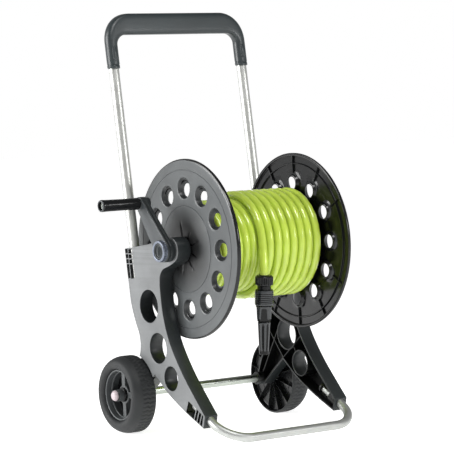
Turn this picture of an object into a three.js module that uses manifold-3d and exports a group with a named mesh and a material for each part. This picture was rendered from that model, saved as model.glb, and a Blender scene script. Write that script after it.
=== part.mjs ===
// Garden hose reel cart: two moulded side frames joined by tubes, a crank-driven reel and two wheels.
// Millimetres. While it is built, X runs along the reel axis with 0 half way between the side frames,
// Y runs to the rear with 0 on the reel axis, and Z is height above the ground.

import * as THREE from 'three';
import { mergeVertices } from 'three/addons/utils/BufferGeometryUtils.js';
import Module from 'manifold-3d';

const wasm = await Module();
wasm.setup();

// ---- driving dimensions ------------------------------------------------------------------------

const GAP = 0.3;                 // between fitted pieces
const REEL_Z = 396.6;            // height of the reel axis
const ORIGIN = { x: -33.5, y: 31.9 };   // middle of the cart's footprint

const FRAME = { inner: 152.2, outer: 185.5, mid: 168.8, wall: 3.5, skin: 3 };
const HEAD_R = 27;
const HOLES = [
  { y: 95.4, z: 275.4, r: 35.3 },
  { y: 66.4, z: 187.1, r: 32.5 },
  { y: 21.2, z: 125.4, r: 26 },
];

const HANDLE = { r: 11, wall: 1.2, lean: 0.13, y: 167.2, z: 400, socket: 302, top: 906 };
const GRIP = { bar: 47, depth: 27, leg: 26.5, low: 786, corner: 63, inside: 22, round: 7.5, tubeTop: 838 };
const FOOT = {
  r: 9.3, sides: 10, y: -98, z: 43.48, slope: 29 * Math.PI / 180, bend: 62, straight: 8.5, inside: 62,
};
const FOOT_CORNER = FOOT.r / Math.cos(Math.PI / FOOT.sides);
const AXLE = { r: 9, y: 170.3, z: 83.5, end: 234, boss: 15 };
const WHEEL = { r: 83.5, inner: 180, outer: 234, seat: 55, recess: 88, floor: 178 };
const WHEEL_HUB = { r: 13, inner: 184, outer: 231.3, disc: 207, spokes: 4, spokeHalf: 5.5 };

const FLANGE = {
  r: 190, face: 146, rim: 8.5, lip: 6, wall: 3, dish: 91, hub: 26, hubFace: 150.8, boss: 139,
};
const OPENINGS = { count: 12, at: 123.3, r: 13 };
const DRUM = { r: 67.5, wall: 3, half: 145 };
const SPINDLE = { r: 15.8, inside: 100 };
const HUB_SCREWS = { count: 3, at: 21.3, r: 1.7, head: 3.4, seat: 147.4 };

const CRANK = { hub: 24, tip: 14, y: 72, z: 99.4, thick: 15, face: 207, offset: 6 };
const CRANK_GRIP = { r: 13, bore: 6.3, start: 214, end: 308, cup: 9, cupDepth: 9 };

const HOSE = { d: 17.9, layers: [76.5, 92, 107.5], topFrom: -34, topTo: 135, lowEdge: 134 };
const TAIL_X = HOSE.topFrom + HOSE.d / 2;
const CONNECTOR = { x: -35, y: -122, z: 338, lean: 0.08 };

// ---- materials ---------------------------------------------------------------------------------

function material(color, roughness, metalness = 0) {
  return new THREE.MeshStandardMaterial({ color, roughness, metalness });
}

const ANTHRACITE = material(0x4a4c4d, 0.45);
const BLACK_PLASTIC = material(0x1a1b1d, 0.4);
const GRIP_GREY = material(0x45494b, 0.6);
const TYRE_GREY = material(0x3a3c3d, 0.7);
const ALUMINIUM = material(0xd8d9d6, 0.25, 1);
const CHROME = material(0xe6e6e6, 0.12, 1);
const HOSE_GREEN = material(0xaec83f, 0.35);
const WHITE_CAP = material(0xe2dcdc, 0.4);
const RUBBER = material(0x101010, 0.8);

// ---- from geometry to solids and back ----------------------------------------------------------

function signedVolume(vertices, triangles) {
  const a = new THREE.Vector3();
  const b = new THREE.Vector3();
  const c = new THREE.Vector3();
  let sum = 0;
  for (let i = 0; i < triangles.length; i += 3) {
    a.fromArray(vertices, 3 * triangles[i]);
    b.fromArray(vertices, 3 * triangles[i + 1]);
    c.fromArray(vertices, 3 * triangles[i + 2]);
    sum += a.dot(b.cross(c));
  }
  return sum / 6;
}

function solid(geometry) {
  const bare = geometry.clone();
  bare.deleteAttribute('normal');
  bare.deleteAttribute('uv');
  const merged = mergeVertices(bare, 1e-4);
  const vertices = new Float32Array(merged.attributes.position.array);
  const source = merged.index.array;
  const triangles = [];
  for (let i = 0; i < source.length; i += 3) {
    const [a, b, c] = [source[i], source[i + 1], source[i + 2]];
    if (a !== b && b !== c && c !== a) triangles.push(a, b, c);
  }
  if (signedVolume(vertices, triangles) < 0) triangles.reverse();
  const mesh = new wasm.Mesh({
    numProp: 3, vertProperties: vertices, triVerts: new Uint32Array(triangles),
  });
  return new wasm.Manifold(mesh);
}

function geometryOf(body) {
  const mesh = body.getMesh();
  const geometry = new THREE.BufferGeometry();
  geometry.setAttribute('position', new THREE.BufferAttribute(mesh.vertProperties, 3));
  geometry.setIndex(new THREE.BufferAttribute(mesh.triVerts, 1));
  return geometry;
}

function mirrored(body) {
  const geometry = geometryOf(body);
  geometry.scale(-1, 1, 1);
  return solid(geometry);
}

function joined(bodies) {
  return bodies.reduce((whole, body) => whole.add(body));
}

// ---- shapes ------------------------------------------------------------------------------------

const UP = new THREE.Vector3(0, 1, 0);
const ACROSS = new THREE.Matrix4().makeBasis(
  new THREE.Vector3(0, 1, 0), new THREE.Vector3(0, 0, 1), new THREE.Vector3(1, 0, 0));

// The corner radius of a bore with flat sides that clears a bar of this radius all round.
function around(radius, sides) {
  return (radius + GAP) / Math.cos(Math.PI / sides);
}

function at(x, y, z) {
  return new THREE.Vector3(x, y, z);
}

// A shape drawn in the YZ plane, thickened from x0 to x1.
function plate(shape, x0, x1, curveSegments = 5) {
  const geometry = new THREE.ExtrudeGeometry(shape, { depth: x1 - x0, bevelEnabled: false, curveSegments });
  return solid(geometry.applyMatrix4(ACROSS).translate(x0, 0, 0));
}

function polygon(points) {
  return new THREE.Shape(points.map(([y, z]) => new THREE.Vector2(y, z)));
}

// A profile of (radius, distance) pairs turned about the line from base along direction.
function turned(profile, segments, base = at(0, 0, REEL_Z), direction = at(1, 0, 0)) {
  const points = profile.map(([r, s]) => new THREE.Vector2(r, s));
  const turn = new THREE.Quaternion().setFromUnitVectors(UP, direction.clone().normalize());
  const geometry = new THREE.LatheGeometry(points, segments).applyQuaternion(turn);
  return solid(geometry.translate(base.x, base.y, base.z));
}

// A round bar from a to b; r2 is its radius at b.
function rod(a, b, r1, segments = 16, r2 = r1) {
  const along = b.clone().sub(a);
  const geometry = new THREE.CylinderGeometry(r2, r1, along.length(), segments);
  geometry.applyQuaternion(new THREE.Quaternion().setFromUnitVectors(UP, along.clone().normalize()));
  const middle = a.clone().add(b).multiplyScalar(0.5);
  return solid(geometry.translate(middle.x, middle.y, middle.z));
}

// A flat rib standing between two (y, z) points.
function rib([y0, z0], [y1, z1], x0, x1, thickness = 2.6) {
  const length = Math.hypot(y1 - y0, z1 - z0);
  const geometry = new THREE.BoxGeometry(x1 - x0, length, thickness);
  geometry.rotateX(Math.atan2(z1 - z0, y1 - y0));
  return solid(geometry.translate((x0 + x1) / 2, (y0 + y1) / 2, (z0 + z1) / 2));
}

// A bar along a curve; turn rotates its flat sides about the curve.
function swept(curve, radius, sides, steps, turn = 0) {
  const section = new THREE.Shape();
  for (let i = 0; i < sides; i += 1) {
    const angle = (i + 0.5) / sides * 2 * Math.PI + turn;
    const point = [radius * Math.cos(angle), radius * Math.sin(angle)];
    if (i === 0) section.moveTo(...point);
    else section.lineTo(...point);
  }
  return solid(new THREE.ExtrudeGeometry(section, { steps, extrudePath: curve, bevelEnabled: false }));
}

// The outline moved inwards by a wall thickness.
function inset(points, distance) {
  const clockwise = THREE.ShapeUtils.isClockWise(points) ? 1 : -1;
  return points.map((point, i) => {
    const before = points[(i + points.length - 1) % points.length];
    const after = points[(i + 1) % points.length];
    const d1 = point.clone().sub(before).normalize();
    const d2 = after.clone().sub(point).normalize();
    const n1 = new THREE.Vector2(d1.y, -d1.x).multiplyScalar(clockwise);
    const n2 = new THREE.Vector2(d2.y, -d2.x).multiplyScalar(clockwise);
    const bisector = n1.clone().add(n2).normalize();
    const reach = Math.min(distance / Math.max(bisector.dot(n1), 0.5), 1.6 * distance);
    return point.clone().addScaledVector(bisector, reach);
  });
}

// ---- lines that several pieces share -----------------------------------------------------------

function handleAt(x, z) {
  return at(x, HANDLE.y + HANDLE.lean * (z - HANDLE.z), z);
}

// A point on the foot tube's leg, at a distance in front of where it leaves the side frame.
function footLegAt(x, distance) {
  return at(x, FOOT.y - distance * Math.cos(FOOT.slope), FOOT.z - distance * Math.sin(FOOT.slope));
}

const SCREW_Z = 322;             // handle tube screws

// ---- side frames -------------------------------------------------------------------------------

function frameOutline() {
  const v = (y, z) => new THREE.Vector2(y, z);
  const outline = new THREE.Shape();
  outline.moveTo(182, 397);
  outline.splineThru([v(178.6, 368), v(172.2, 320), v(166, 278), v(152.5, 241), v(139.5, 214), v(136, 194)]);
  outline.splineThru([v(139.5, 174), v(152, 153), v(170, 124), v(184.6, 88)]);
  outline.absarc(AXLE.y, AXLE.z, AXLE.boss, 0.3, -2.19, true);
  outline.lineTo(84, 130);
  outline.splineThru([v(55.5, 107.5), v(23.8, 85.5), v(-34, 55.5), v(-92.5, 29.5)]);
  outline.lineTo(-99.4, 55.5);
  outline.splineThru([v(-70, 86), v(-22, 138.5), v(19, 197), v(40.5, 253), v(48.2, 307), v(48.6, 331)]);
  outline.quadraticCurveTo(47.5, 352.5, 24.4, 359.2);
  outline.quadraticCurveTo(7, 363, -9, REEL_Z - 25.4);
  outline.absarc(0, REEL_Z, HEAD_R, -1.91, -1.5 * Math.PI, true);
  outline.lineTo(87.4, 408.2);
  outline.lineTo(153, 400.2);
  return outline;
}

function frameRibs() {
  const lines = [
    [[14, 187], [160, 77]], [[98, 200], [166, 94]], [[133, 193], [82, 131]],
    [[20, 378], [70, 303]], [[122, 300], [150, 318]], [[82, 243], [76, 217]], [[44, 163], [36, 146]],
  ];
  return joined(lines.map(([a, b]) => rib(a, b, FRAME.inner + 1, FRAME.outer - 2)));
}

// Solid regions that the hollow inside of the shell goes round.
function frameCore() {
  const inner = FRAME.inner - 1;
  const outer = FRAME.outer - 2;
  const rings = HOLES.map((hole) => rod(at(inner, hole.y, hole.z), at(outer, hole.y, hole.z), hole.r + 3, 16));
  const head = rod(at(inner, 0, REEL_Z), at(outer, 0, REEL_Z), HEAD_R - 1, 16);
  const axle = rod(at(inner, AXLE.y, AXLE.z), at(outer, AXLE.y, AXLE.z), AXLE.boss - 1, 12);
  const handle = rod(handleAt(FRAME.mid, HANDLE.socket - 4), handleAt(FRAME.mid, 404), 14.6, 12);
  const foot = rod(footLegAt(FRAME.mid, 4), footLegAt(FRAME.mid, -FOOT.inside - 4), 13, 12);
  const web = rod(at(WHEEL.floor - 3, AXLE.y, AXLE.z), at(outer, AXLE.y, AXLE.z), WHEEL.recess + 3.5, 24);
  return joined([...rings, head, axle, handle, foot, web, frameRibs()]);
}

// Barred openings low at the front and at the upper rear corner, a gap in the lower wall, and a slot
// on the inner side that shows the foot tube in its socket.
function frameWindows() {
  const deep = 171;
  const skin = FRAME.outer - FRAME.skin;
  const face = FRAME.outer + 1;
  const rear = plate(polygon([[152.5, 398], [180, 395], [172, 332], [145.5, 335.5]]), deep, face);
  const rearBars = joined([
    ...[388, 374.5, 362].map((z) => rib([142, z + 1], [184, z - 2.5], skin, face, 2.2)),
    rib([160, 326], [168, 400], skin, face, 2.2),
  ]);
  const front = plate(polygon([[-42, 83], [-95.5, 56], [-90.5, 33.5], [-31, 59]]), deep, face);
  const frontBars = joined([-66, -75.5, -85].map((y) => {
    const low = [y, 36 - 0.5 * (y + 79)];
    return rib(low, [y - 4, low[1] + 34], skin, face, 2.6);
  }));
  const gap = plate(polygon([[-36, 48], [-5, 63], [-5, 77], [-36, 63]]), FRAME.inner + 5, deep + 3);
  const across = FOOT.slope + Math.PI / 2;
  const slot = plate(polygon([[-34, -5.5], [-34, 5.5], [-54, 5.5], [-54, -5.5]].map(([distance, side]) => {
    const { y, z } = footLegAt(0, distance);
    return [y + side * Math.cos(across), z + side * Math.sin(across)];
  })), FRAME.inner - 1, FRAME.mid - 6);
  return joined([rear.subtract(rearBars), front.subtract(frontBars), gap, slot]);
}

function sideFrame() {
  const outline = frameOutline();
  const hollow = new THREE.Shape(inset(outline.extractPoints(3).shape, FRAME.wall));
  const shell = plate(outline, FRAME.inner, FRAME.outer, 3);
  const pocket = plate(hollow, FRAME.inner - 1, FRAME.outer - FRAME.skin, 1).subtract(frameCore());
  const alongAxle = (from, to, r, sides) => rod(at(from, AXLE.y, AXLE.z), at(to, AXLE.y, AXLE.z), r, sides);
  const sleeve = alongAxle(FRAME.inner - 14, FRAME.inner + 2, AXLE.boss - 1, 12);
  const spacer = alongAxle(WHEEL.floor - 2, 181.7, AXLE.boss - 1, 12);
  const wheelRecess = alongAxle(WHEEL.floor, FRAME.outer + 1, WHEEL.recess, 24);
  const low = FRAME.inner - 20;
  const high = FRAME.outer + 5;
  const bores = [
    ...HOLES.map((hole) => rod(at(low, hole.y, hole.z), at(high, hole.y, hole.z), hole.r, 16)),
    rod(at(low, 0, REEL_Z), at(high, 0, REEL_Z), around(SPINDLE.r, 16), 16),
    alongAxle(low, high, around(AXLE.r, 12), 12),
    rod(handleAt(FRAME.mid, HANDLE.socket - 0.5), handleAt(FRAME.mid, 440), around(HANDLE.r, 12), 12),
    rod(footLegAt(FRAME.mid, 20), footLegAt(FRAME.mid, -FOOT.inside), around(FOOT_CORNER, 12), 12),
    rod(handleAt(low, SCREW_Z), handleAt(FRAME.mid, SCREW_Z), 2.3, 6),
  ];
  const body = shell.subtract(pocket).subtract(wheelRecess).add(sleeve).add(spacer);
  return body.subtract(joined(bores)).subtract(frameWindows());
}

// ---- tubes and handle --------------------------------------------------------------------------

function screw(start, end, headR = 4.2, shankR = 1.9) {
  const along = end.clone().sub(start);
  const length = along.length();
  const profile = [[0, 0], [headR, 0.6], [headR, 2.6], [shankR, 2.8], [shankR, length - 2], [0, length]];
  return turned(profile, 8, start, along);
}

function handleTube() {
  const low = handleAt(FRAME.mid, HANDLE.socket);
  const high = handleAt(FRAME.mid, GRIP.tubeTop);
  const below = handleAt(FRAME.mid, HANDLE.socket - 5);
  const above = handleAt(FRAME.mid, GRIP.tubeTop + 5);
  const bore = rod(below, above, HANDLE.r - HANDLE.wall, 12);
  const screwHole = rod(handleAt(150, SCREW_Z), handleAt(FRAME.mid, SCREW_Z), 2.2, 6);
  return rod(low, high, HANDLE.r, 12).subtract(bore).subtract(screwHole);
}

// The grip is a wide bar that narrows round its corners into two sleeves over the tubes.
function gripShape() {
  const { leg, bar, round } = GRIP;
  const half = FRAME.mid + leg / 2 - round;
  const inner = FRAME.mid - leg / 2 + round;
  const top = HANDLE.top - round;
  const under = HANDLE.top - bar + round;
  const low = GRIP.low + round;
  const corner = GRIP.corner - round;
  const inside = GRIP.inside + round;
  const shape = new THREE.Shape();
  shape.moveTo(-half, low);
  shape.lineTo(-half, top - corner);
  shape.absarc(-half + corner, top - corner, corner, Math.PI, Math.PI / 2, true);
  shape.lineTo(half - corner, top);
  shape.absarc(half - corner, top - corner, corner, Math.PI / 2, 0, true);
  shape.lineTo(half, low);
  shape.lineTo(inner, low);
  shape.lineTo(inner, under - inside);
  shape.absarc(inner - inside, under - inside, inside, 0, Math.PI / 2, false);
  shape.lineTo(-inner + inside, under);
  shape.absarc(-inner + inside, under - inside, inside, Math.PI / 2, Math.PI, false);
  shape.lineTo(-inner, low);
  return shape;
}

function handleGrip() {
  const { round } = GRIP;
  const bevel = { bevelEnabled: true, bevelThickness: round, bevelSize: round, bevelSegments: 2 };
  const depth = GRIP.depth - 2 * round;
  const geometry = new THREE.ExtrudeGeometry(gripShape(), { depth, curveSegments: 5, ...bevel });
  geometry.translate(0, 0, -depth / 2);
  // Stand the bar up and lean it along the tubes.
  const lean = new THREE.Matrix4().set(
    1, 0, 0, 0,
    0, HANDLE.lean, -1, HANDLE.y - HANDLE.lean * HANDLE.z,
    0, 1, 0, 0,
    0, 0, 0, 1);
  geometry.applyMatrix4(lean);
  const sockets = [-FRAME.mid, FRAME.mid].map((x) => {
    return rod(handleAt(x, GRIP.low - 20), handleAt(x, GRIP.tubeTop + 0.5), around(HANDLE.r, 12), 12);
  });
  return solid(geometry).subtract(joined(sockets));
}

// A quarter circle from one point to another, both legs pointing at the corner between them.
function quarterBend(from, corner, to) {
  const reach = 0.5523;
  const leaving = from.clone().lerp(corner, reach);
  const arriving = to.clone().lerp(corner, reach);
  return new THREE.CubicBezierCurve3(from, leaving, arriving, to);
}

function footTube() {
  const path = new THREE.CurvePath();
  const leg = (x) => ({
    inside: footLegAt(x, -FOOT.inside + 1),
    bend: footLegAt(x, FOOT.straight),
    corner: footLegAt(x, FOOT.straight + FOOT.bend),
    across: footLegAt(x - Math.sign(x) * FOOT.bend, FOOT.straight + FOOT.bend),
  });
  const left = leg(-FRAME.mid);
  const right = leg(FRAME.mid);
  path.add(new THREE.LineCurve3(left.inside, left.bend));
  path.add(quarterBend(left.bend, left.corner, left.across));
  path.add(new THREE.LineCurve3(left.across, right.across));
  path.add(quarterBend(right.across, right.corner, right.bend));
  path.add(new THREE.LineCurve3(right.bend, right.inside));
  // The turn lays one flat side of the straight part on the ground.
  const turn = Math.PI / FOOT.sides - FOOT.slope;
  return swept(path, FOOT_CORNER, FOOT.sides, 36, turn);
}

// ---- axle and wheels ---------------------------------------------------------------------------

function onAxle(profile, segments) {
  return turned(profile, segments, at(0, AXLE.y, AXLE.z));
}

function axleTube() {
  const { r, end } = AXLE;
  return onAxle([[r - 1.5, -end], [r, -end], [r, end], [r - 1.5, end], [r - 1.5, -end]], 16);
}

function axleCap() {
  const { end } = AXLE;
  const wall = AXLE.r + GAP;
  return onAxle([[0, end + 7], [6, end + 6.4], [10, end + 4.2], [11.3, end + 1], [11.3, end - 2.4],
    [wall, end - 2.4], [wall, end + GAP], [0, end + GAP]], 16);
}

function wheelWasher() {
  const bore = around(AXLE.r, 12);
  const { r, inner } = WHEEL_HUB;
  const thick = 1.6;
  const outer = inner - GAP;
  const under = outer - thick;
  return onAxle([[bore, under], [r, under], [r, outer], [bore, outer], [bore, under]], 12);
}

function tyre() {
  const { r, inner, outer, seat } = WHEEL;
  const bead = seat + GAP;
  return onAxle([
    [bead, inner + 9], [66, inner], [78, inner], [r, inner + 7], [r, inner + 27], [r - 3, inner + 39],
    [r - 9, outer - 3.5], [r - 15, outer], [seat + 6, outer - 2], [bead, outer - 9], [bead, inner + 9],
  ], 36);
}

function wheelHub() {
  const bore = around(AXLE.r, 10);
  const { seat } = WHEEL;
  const { r, inner, outer, disc, spokes, spokeHalf } = WHEEL_HUB;
  const hub = onAxle([[bore, inner], [r, inner], [r, outer], [bore, outer], [bore, inner]], 10);
  const face = disc + 5;
  const web = onAxle([[r - 1, disc], [seat - 2, disc], [seat - 2, face], [r - 1, face], [r - 1, disc]], 20);
  const backFace = 191;
  const back = onAxle([[r - 1, backFace], [seat - 2, backFace], [seat - 2, backFace + 3], [r - 1, backFace + 3],
    [r - 1, backFace]], 20);
  const rim = onAxle([[seat - 3.5, inner + 6], [seat, inner + 6], [seat, 224], [seat - 3.5, 224],
    [seat - 3.5, inner + 6]], 20);
  const windows = [];
  const windowOuter = 49;
  const windowInner = 20;
  for (let i = 0; i < spokes; i += 1) {
    const shape = new THREE.Shape();
    const middle = (i + 0.5) / spokes * 2 * Math.PI;
    const wide = Math.PI / spokes - spokeHalf / windowOuter;
    const narrow = Math.PI / spokes - spokeHalf / windowInner;
    shape.absarc(0, 0, windowOuter, middle - wide, middle + wide, false);
    shape.absarc(0, 0, windowInner, middle + narrow, middle - narrow, true);
    const window = plate(shape, disc - 2, disc + 8, 3);
    windows.push(window.translate(0, AXLE.y, AXLE.z));
  }
  return joined([hub, web.subtract(joined(windows)), back, rim]);
}

// ---- reel --------------------------------------------------------------------------------------

// The middle of the flange is a low dome that rises outwards to the hub.
function dishFace(r) {
  const { face, dish, hub, hubFace } = FLANGE;
  const t = Math.min(Math.max((dish - r) / (dish - hub), 0), 1);
  return face + (hubFace - face) * Math.sin(Math.PI / 2 * t);
}

function hubScrewPlace(i) {
  const angle = (i + 0.25) / HUB_SCREWS.count * 2 * Math.PI;
  return { y: HUB_SCREWS.at * Math.cos(angle), z: REEL_Z + HUB_SCREWS.at * Math.sin(angle) };
}

// One side cheek of the reel: a plate with a rim, a domed middle and twelve round openings.
function flange() {
  const { r, face, rim, wall, dish, hub, hubFace, boss, lip } = FLANGE;
  const back = face - wall;
  const bore = SPINDLE.r + GAP;
  const bossR = hub + 8;
  const dome = [1, 2, 3, 4].map((i) => hub + (dish - hub) * i / 5);
  const profile = [
    [bore, hubFace], [hub, hubFace], ...dome.map((s) => [s, dishFace(s)]), [dish, face], [r, face],
    [r, face - rim], [r - lip, face - rim], [r - lip, back], [dish, back],
    ...dome.reverse().map((s) => [s, dishFace(s) - wall]), [bossR, dishFace(bossR) - wall], [bossR, boss],
    [bore, boss], [bore, hubFace],
  ];
  const cuts = [];
  for (let i = 0; i < OPENINGS.count; i += 1) {
    const angle = i / OPENINGS.count * 2 * Math.PI;
    const y = OPENINGS.at * Math.cos(angle);
    const z = REEL_Z + OPENINGS.at * Math.sin(angle);
    cuts.push(rod(at(back - 1, y, z), at(face + 1, y, z), OPENINGS.r, 10));
  }
  for (let i = 0; i < HUB_SCREWS.count; i += 1) {
    const { y, z } = hubScrewPlace(i);
    cuts.push(rod(at(boss - 1, y, z), at(hubFace + 1, y, z), HUB_SCREWS.r + GAP, 6));
    cuts.push(rod(at(HUB_SCREWS.seat - GAP, y, z), at(hubFace + 1, y, z), HUB_SCREWS.head + GAP, 8));
  }
  return turned(profile, 32).subtract(joined(cuts));
}

function hubScrew(i) {
  const { y, z } = hubScrewPlace(i);
  const { seat, head, r } = HUB_SCREWS;
  return screw(at(seat + 2.8, y, z), at(seat - 18, y, z), head, r);
}

const SPOUT = { x: 97, r: 6, bore: 4 };

function drumCore() {
  const { r, wall, half } = DRUM;
  const shell = turned([[r - wall, -half], [r, -half], [r, half], [r - wall, half], [r - wall, -half]], 32);
  const slot = new THREE.BoxGeometry(37, 19, 20).translate(102, 0, REEL_Z + r);
  return shell.subtract(solid(slot));
}

// The tube down the middle of the drum that both flanges are screwed to.
function drumSleeve() {
  const end = FLANGE.boss - GAP;
  const bore = SPINDLE.r + 0.5;
  const profile = [[bore, -end], [32, -end], [32, -end + 12], [21, -end + 18], [21, end - 18], [32, end - 12],
    [32, end], [bore, end], [bore, -end]];
  const cuts = [rod(at(SPOUT.x, 0, REEL_Z), at(SPOUT.x, 0, REEL_Z + 40), SPOUT.r + 1, 12)];
  for (let i = 0; i < HUB_SCREWS.count; i += 1) {
    const { y, z } = hubScrewPlace(i);
    cuts.push(rod(at(-end - 1, y, z), at(-end + 12, y, z), HUB_SCREWS.r + GAP, 6));
    cuts.push(rod(at(end - 12, y, z), at(end + 1, y, z), HUB_SCREWS.r + GAP, 6));
  }
  return turned(profile, 16).subtract(joined(cuts));
}

// The crank's journal: it turns in the left side frame's head.
function crankSpindle() {
  return rod(at(-203, 0, REEL_Z), at(-SPINDLE.inside, 0, REEL_Z), SPINDLE.r, 16);
}

// The water journal turns in the right side frame's head and feeds the hose through its spout.
function waterSpindle() {
  const end = 200;
  const journal = rod(at(84, 0, REEL_Z), at(end, 0, REEL_Z), SPINDLE.r, 16);
  const groove = turned([[13.4, 192], [17, 192], [17, 195.4], [13.4, 195.4], [13.4, 192]], 16);
  const spout = rod(at(SPOUT.x, 0, REEL_Z), at(SPOUT.x, 0, REEL_Z + 58), SPOUT.r, 12);
  const bore = rod(at(SPOUT.x - 3, 0, REEL_Z), at(end + 1, 0, REEL_Z), 5, 12);
  const spoutBore = rod(at(SPOUT.x, 0, REEL_Z - 2), at(SPOUT.x, 0, REEL_Z + 59), SPOUT.bore, 12);
  return journal.subtract(groove).add(spout).subtract(bore).subtract(spoutBore);
}

// The elbow carries water from the spout to the hose, and leaves the drum along its surface.
function outletElbow() {
  const seat = REEL_Z + 58 + GAP;
  const turnZ = REEL_Z + HOSE.layers[0] - 1.5;
  const low = rod(at(SPOUT.x, 0, seat), at(SPOUT.x, 0, seat + 10), 7, 12);
  const slope = rod(at(SPOUT.x + 1, 0, seat + 6), at(113, 0, turnZ - 2), 6, 12);
  const across = rod(at(113, 5, turnZ), at(113, -14, turnZ), 7.5, 12);
  const bore = rod(at(113, 0, turnZ), at(113, -15, turnZ), 4.5, 12);
  const riser = rod(at(SPOUT.x, 0, seat - 1), at(SPOUT.x, 0, seat + 6), 4, 12);
  const passage = rod(at(SPOUT.x, 0, seat + 4), at(113, 0, turnZ - 2), 3.5, 12);
  return joined([low, slope, across]).subtract(joined([bore, riser, passage]));
}

function sealRing() {
  return turned([[13.8, 192.5], [15.6, 192.5], [15.6, 195], [13.8, 195], [13.8, 192.5]], 16);
}

// The inlet turns freely on the water journal, so that a feed hose can come from any side.
function inletSwivel() {
  const cup = turned([[SPINDLE.r + 0.4, 187], [20, 187], [20, 212], [0, 212], [0, 206], [SPINDLE.r + 0.4, 206],
    [SPINDLE.r + 0.4, 187]], 16);
  const spout = rod(at(199, 0, REEL_Z - 17), at(199, 0, REEL_Z - 50), 9, 12);
  const collar = rod(at(199, 0, REEL_Z - 30), at(199, 0, REEL_Z - 35), 12, 12);
  const barb = rod(at(199, 0, REEL_Z - 50), at(199, 0, REEL_Z - 58), 7.5, 12);
  const bore = rod(at(199, 0, REEL_Z - 14), at(199, 0, REEL_Z - 60), 5, 8);
  return joined([cup, spout, collar, barb]).subtract(bore);
}

// ---- crank -------------------------------------------------------------------------------------

const CRANK_TIP = { y: CRANK.y, z: REEL_Z + CRANK.z };

function crankArm() {
  const length = Math.hypot(CRANK.y, CRANK.z);
  const heading = Math.atan2(CRANK.z, CRANK.y);
  const spread = Math.acos((CRANK.hub - CRANK.tip) / length);
  const shape = new THREE.Shape();
  shape.absarc(0, 0, CRANK.hub, heading + spread, heading - spread + 2 * Math.PI, false);
  shape.absarc(CRANK.y, CRANK.z, CRANK.tip, heading - spread, heading + spread, false);
  const options = { depth: CRANK.thick, bevelEnabled: false, curveSegments: 5 };
  const geometry = new THREE.ExtrudeGeometry(shape, options);
  geometry.applyMatrix4(ACROSS).translate(-CRANK.face, 0, 0);
  // The arm leans outwards from its hub to its tip.
  const leanY = -CRANK.offset * CRANK.y / length ** 2;
  const leanZ = -CRANK.offset * CRANK.z / length ** 2;
  geometry.applyMatrix4(new THREE.Matrix4().set(1, leanY, leanZ, 0, 0, 1, 0, 0, 0, 0, 1, REEL_Z, 0, 0, 0, 1));
  const hub = rod(at(-204, 0, REEL_Z), at(-187, 0, REEL_Z), CRANK.hub - 0.5, 20);
  const socket = rod(at(-203.3, 0, REEL_Z), at(-180, 0, REEL_Z), around(SPINDLE.r, 16), 16);
  const pinHole = rod(at(-230, CRANK_TIP.y, CRANK_TIP.z), at(-180, CRANK_TIP.y, CRANK_TIP.z), 6.3, 12);
  const seat = rod(at(-212, 0, REEL_Z), at(-206, 0, REEL_Z), CRANK.hub, 20);
  return solid(geometry).add(hub).subtract(socket).subtract(pinHole).subtract(seat);
}

function crankRing() {
  return turned([[17, -206.3], [22.5, -206.3], [22.5, -216], [21, -217], [17, -217], [17, -206.3]], 24);
}

function crankCap() {
  return turned([[0, -206.3], [16.7, -206.3], [16.7, -214.5], [15, -215.5], [0, -215.5]], 24);
}

function onCrankGrip(profile, segments) {
  return turned(profile, segments, at(0, CRANK_TIP.y, CRANK_TIP.z));
}

function crankGrip() {
  const { r, bore, start, end, cup, cupDepth } = CRANK_GRIP;
  return onCrankGrip([
    [bore, -start], [r - 1.5, -start], [r, -start - 3], [r, -end + 2], [r - 1, -end], [cup, -end],
    [cup, -end + cupDepth], [bore, -end + cupDepth], [bore, -start],
  ], 16);
}

function crankPin() {
  return onCrankGrip([[0, -199], [5.9, -199], [5.9, -298], [0, -298]], 16);
}

function crankPinScrew() {
  const seat = -CRANK_GRIP.end + CRANK_GRIP.cupDepth - GAP;
  return onCrankGrip([[0, seat], [8, seat], [8, seat - 2], [6, seat - 3.4], [0, seat - 3.4]], 16);
}

// ---- hose --------------------------------------------------------------------------------------

// The outside of the wound hose: two full layers and a third that covers the right-hand part.
function hoseWinding() {
  const [inner, second, top] = HOSE.layers;
  const half = HOSE.d / 2;
  const edge = HOSE.lowEdge;
  const elbowEdge = 89;
  const core = around(DRUM.r, 24);
  const overElbow = around(inner + 7.6, 24);
  return turned([
    [core, -112], [core, elbowEdge], [overElbow, elbowEdge], [overElbow, edge],
    [second + half, edge], [second + half, HOSE.topTo], [top + half, HOSE.topTo],
    [top + half, HOSE.topFrom], [second + half, HOSE.topFrom], [second + half, -edge],
    [overElbow, -edge], [overElbow, -112], [core, -112],
  ], 24);
}

const CONNECTOR_AXIS = at(0, CONNECTOR.lean, -1).normalize();

function onConnector(profile, segments) {
  return turned(profile, segments, at(CONNECTOR.x, CONNECTOR.y, CONNECTOR.z), CONNECTOR_AXIS);
}

// The hose leaves the top layer at the front and hangs down into the connector.
function hoseTail() {
  const top = HOSE.d / 2 + HOSE.layers[2] + GAP;
  const base = at(CONNECTOR.x, CONNECTOR.y, CONNECTOR.z);
  const low = base.clone().addScaledVector(CONNECTOR_AXIS, -GAP);
  const path = new THREE.CatmullRomCurve3([
    at(TAIL_X, -top - 9, REEL_Z - 8),
    at((TAIL_X + CONNECTOR.x) / 2, -top - 10, REEL_Z - 26),
    low.clone().addScaledVector(CONNECTOR_AXIS, -12),
    low,
  ]);
  return swept(path, HOSE.d / 2, 10, 4);
}

function hoseNut() {
  return onConnector([[0, 0], [15, 0], [19, 3.5], [19, 20], [16, 22], [0, 22]], 16);
}

function connectorBody() {
  return onConnector([
    [0, 22.3], [14.5, 22.3], [14.5, 29], [16, 29.6], [16, 64], [8.5, 64], [8.5, 48], [0, 48],
  ], 16);
}

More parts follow.
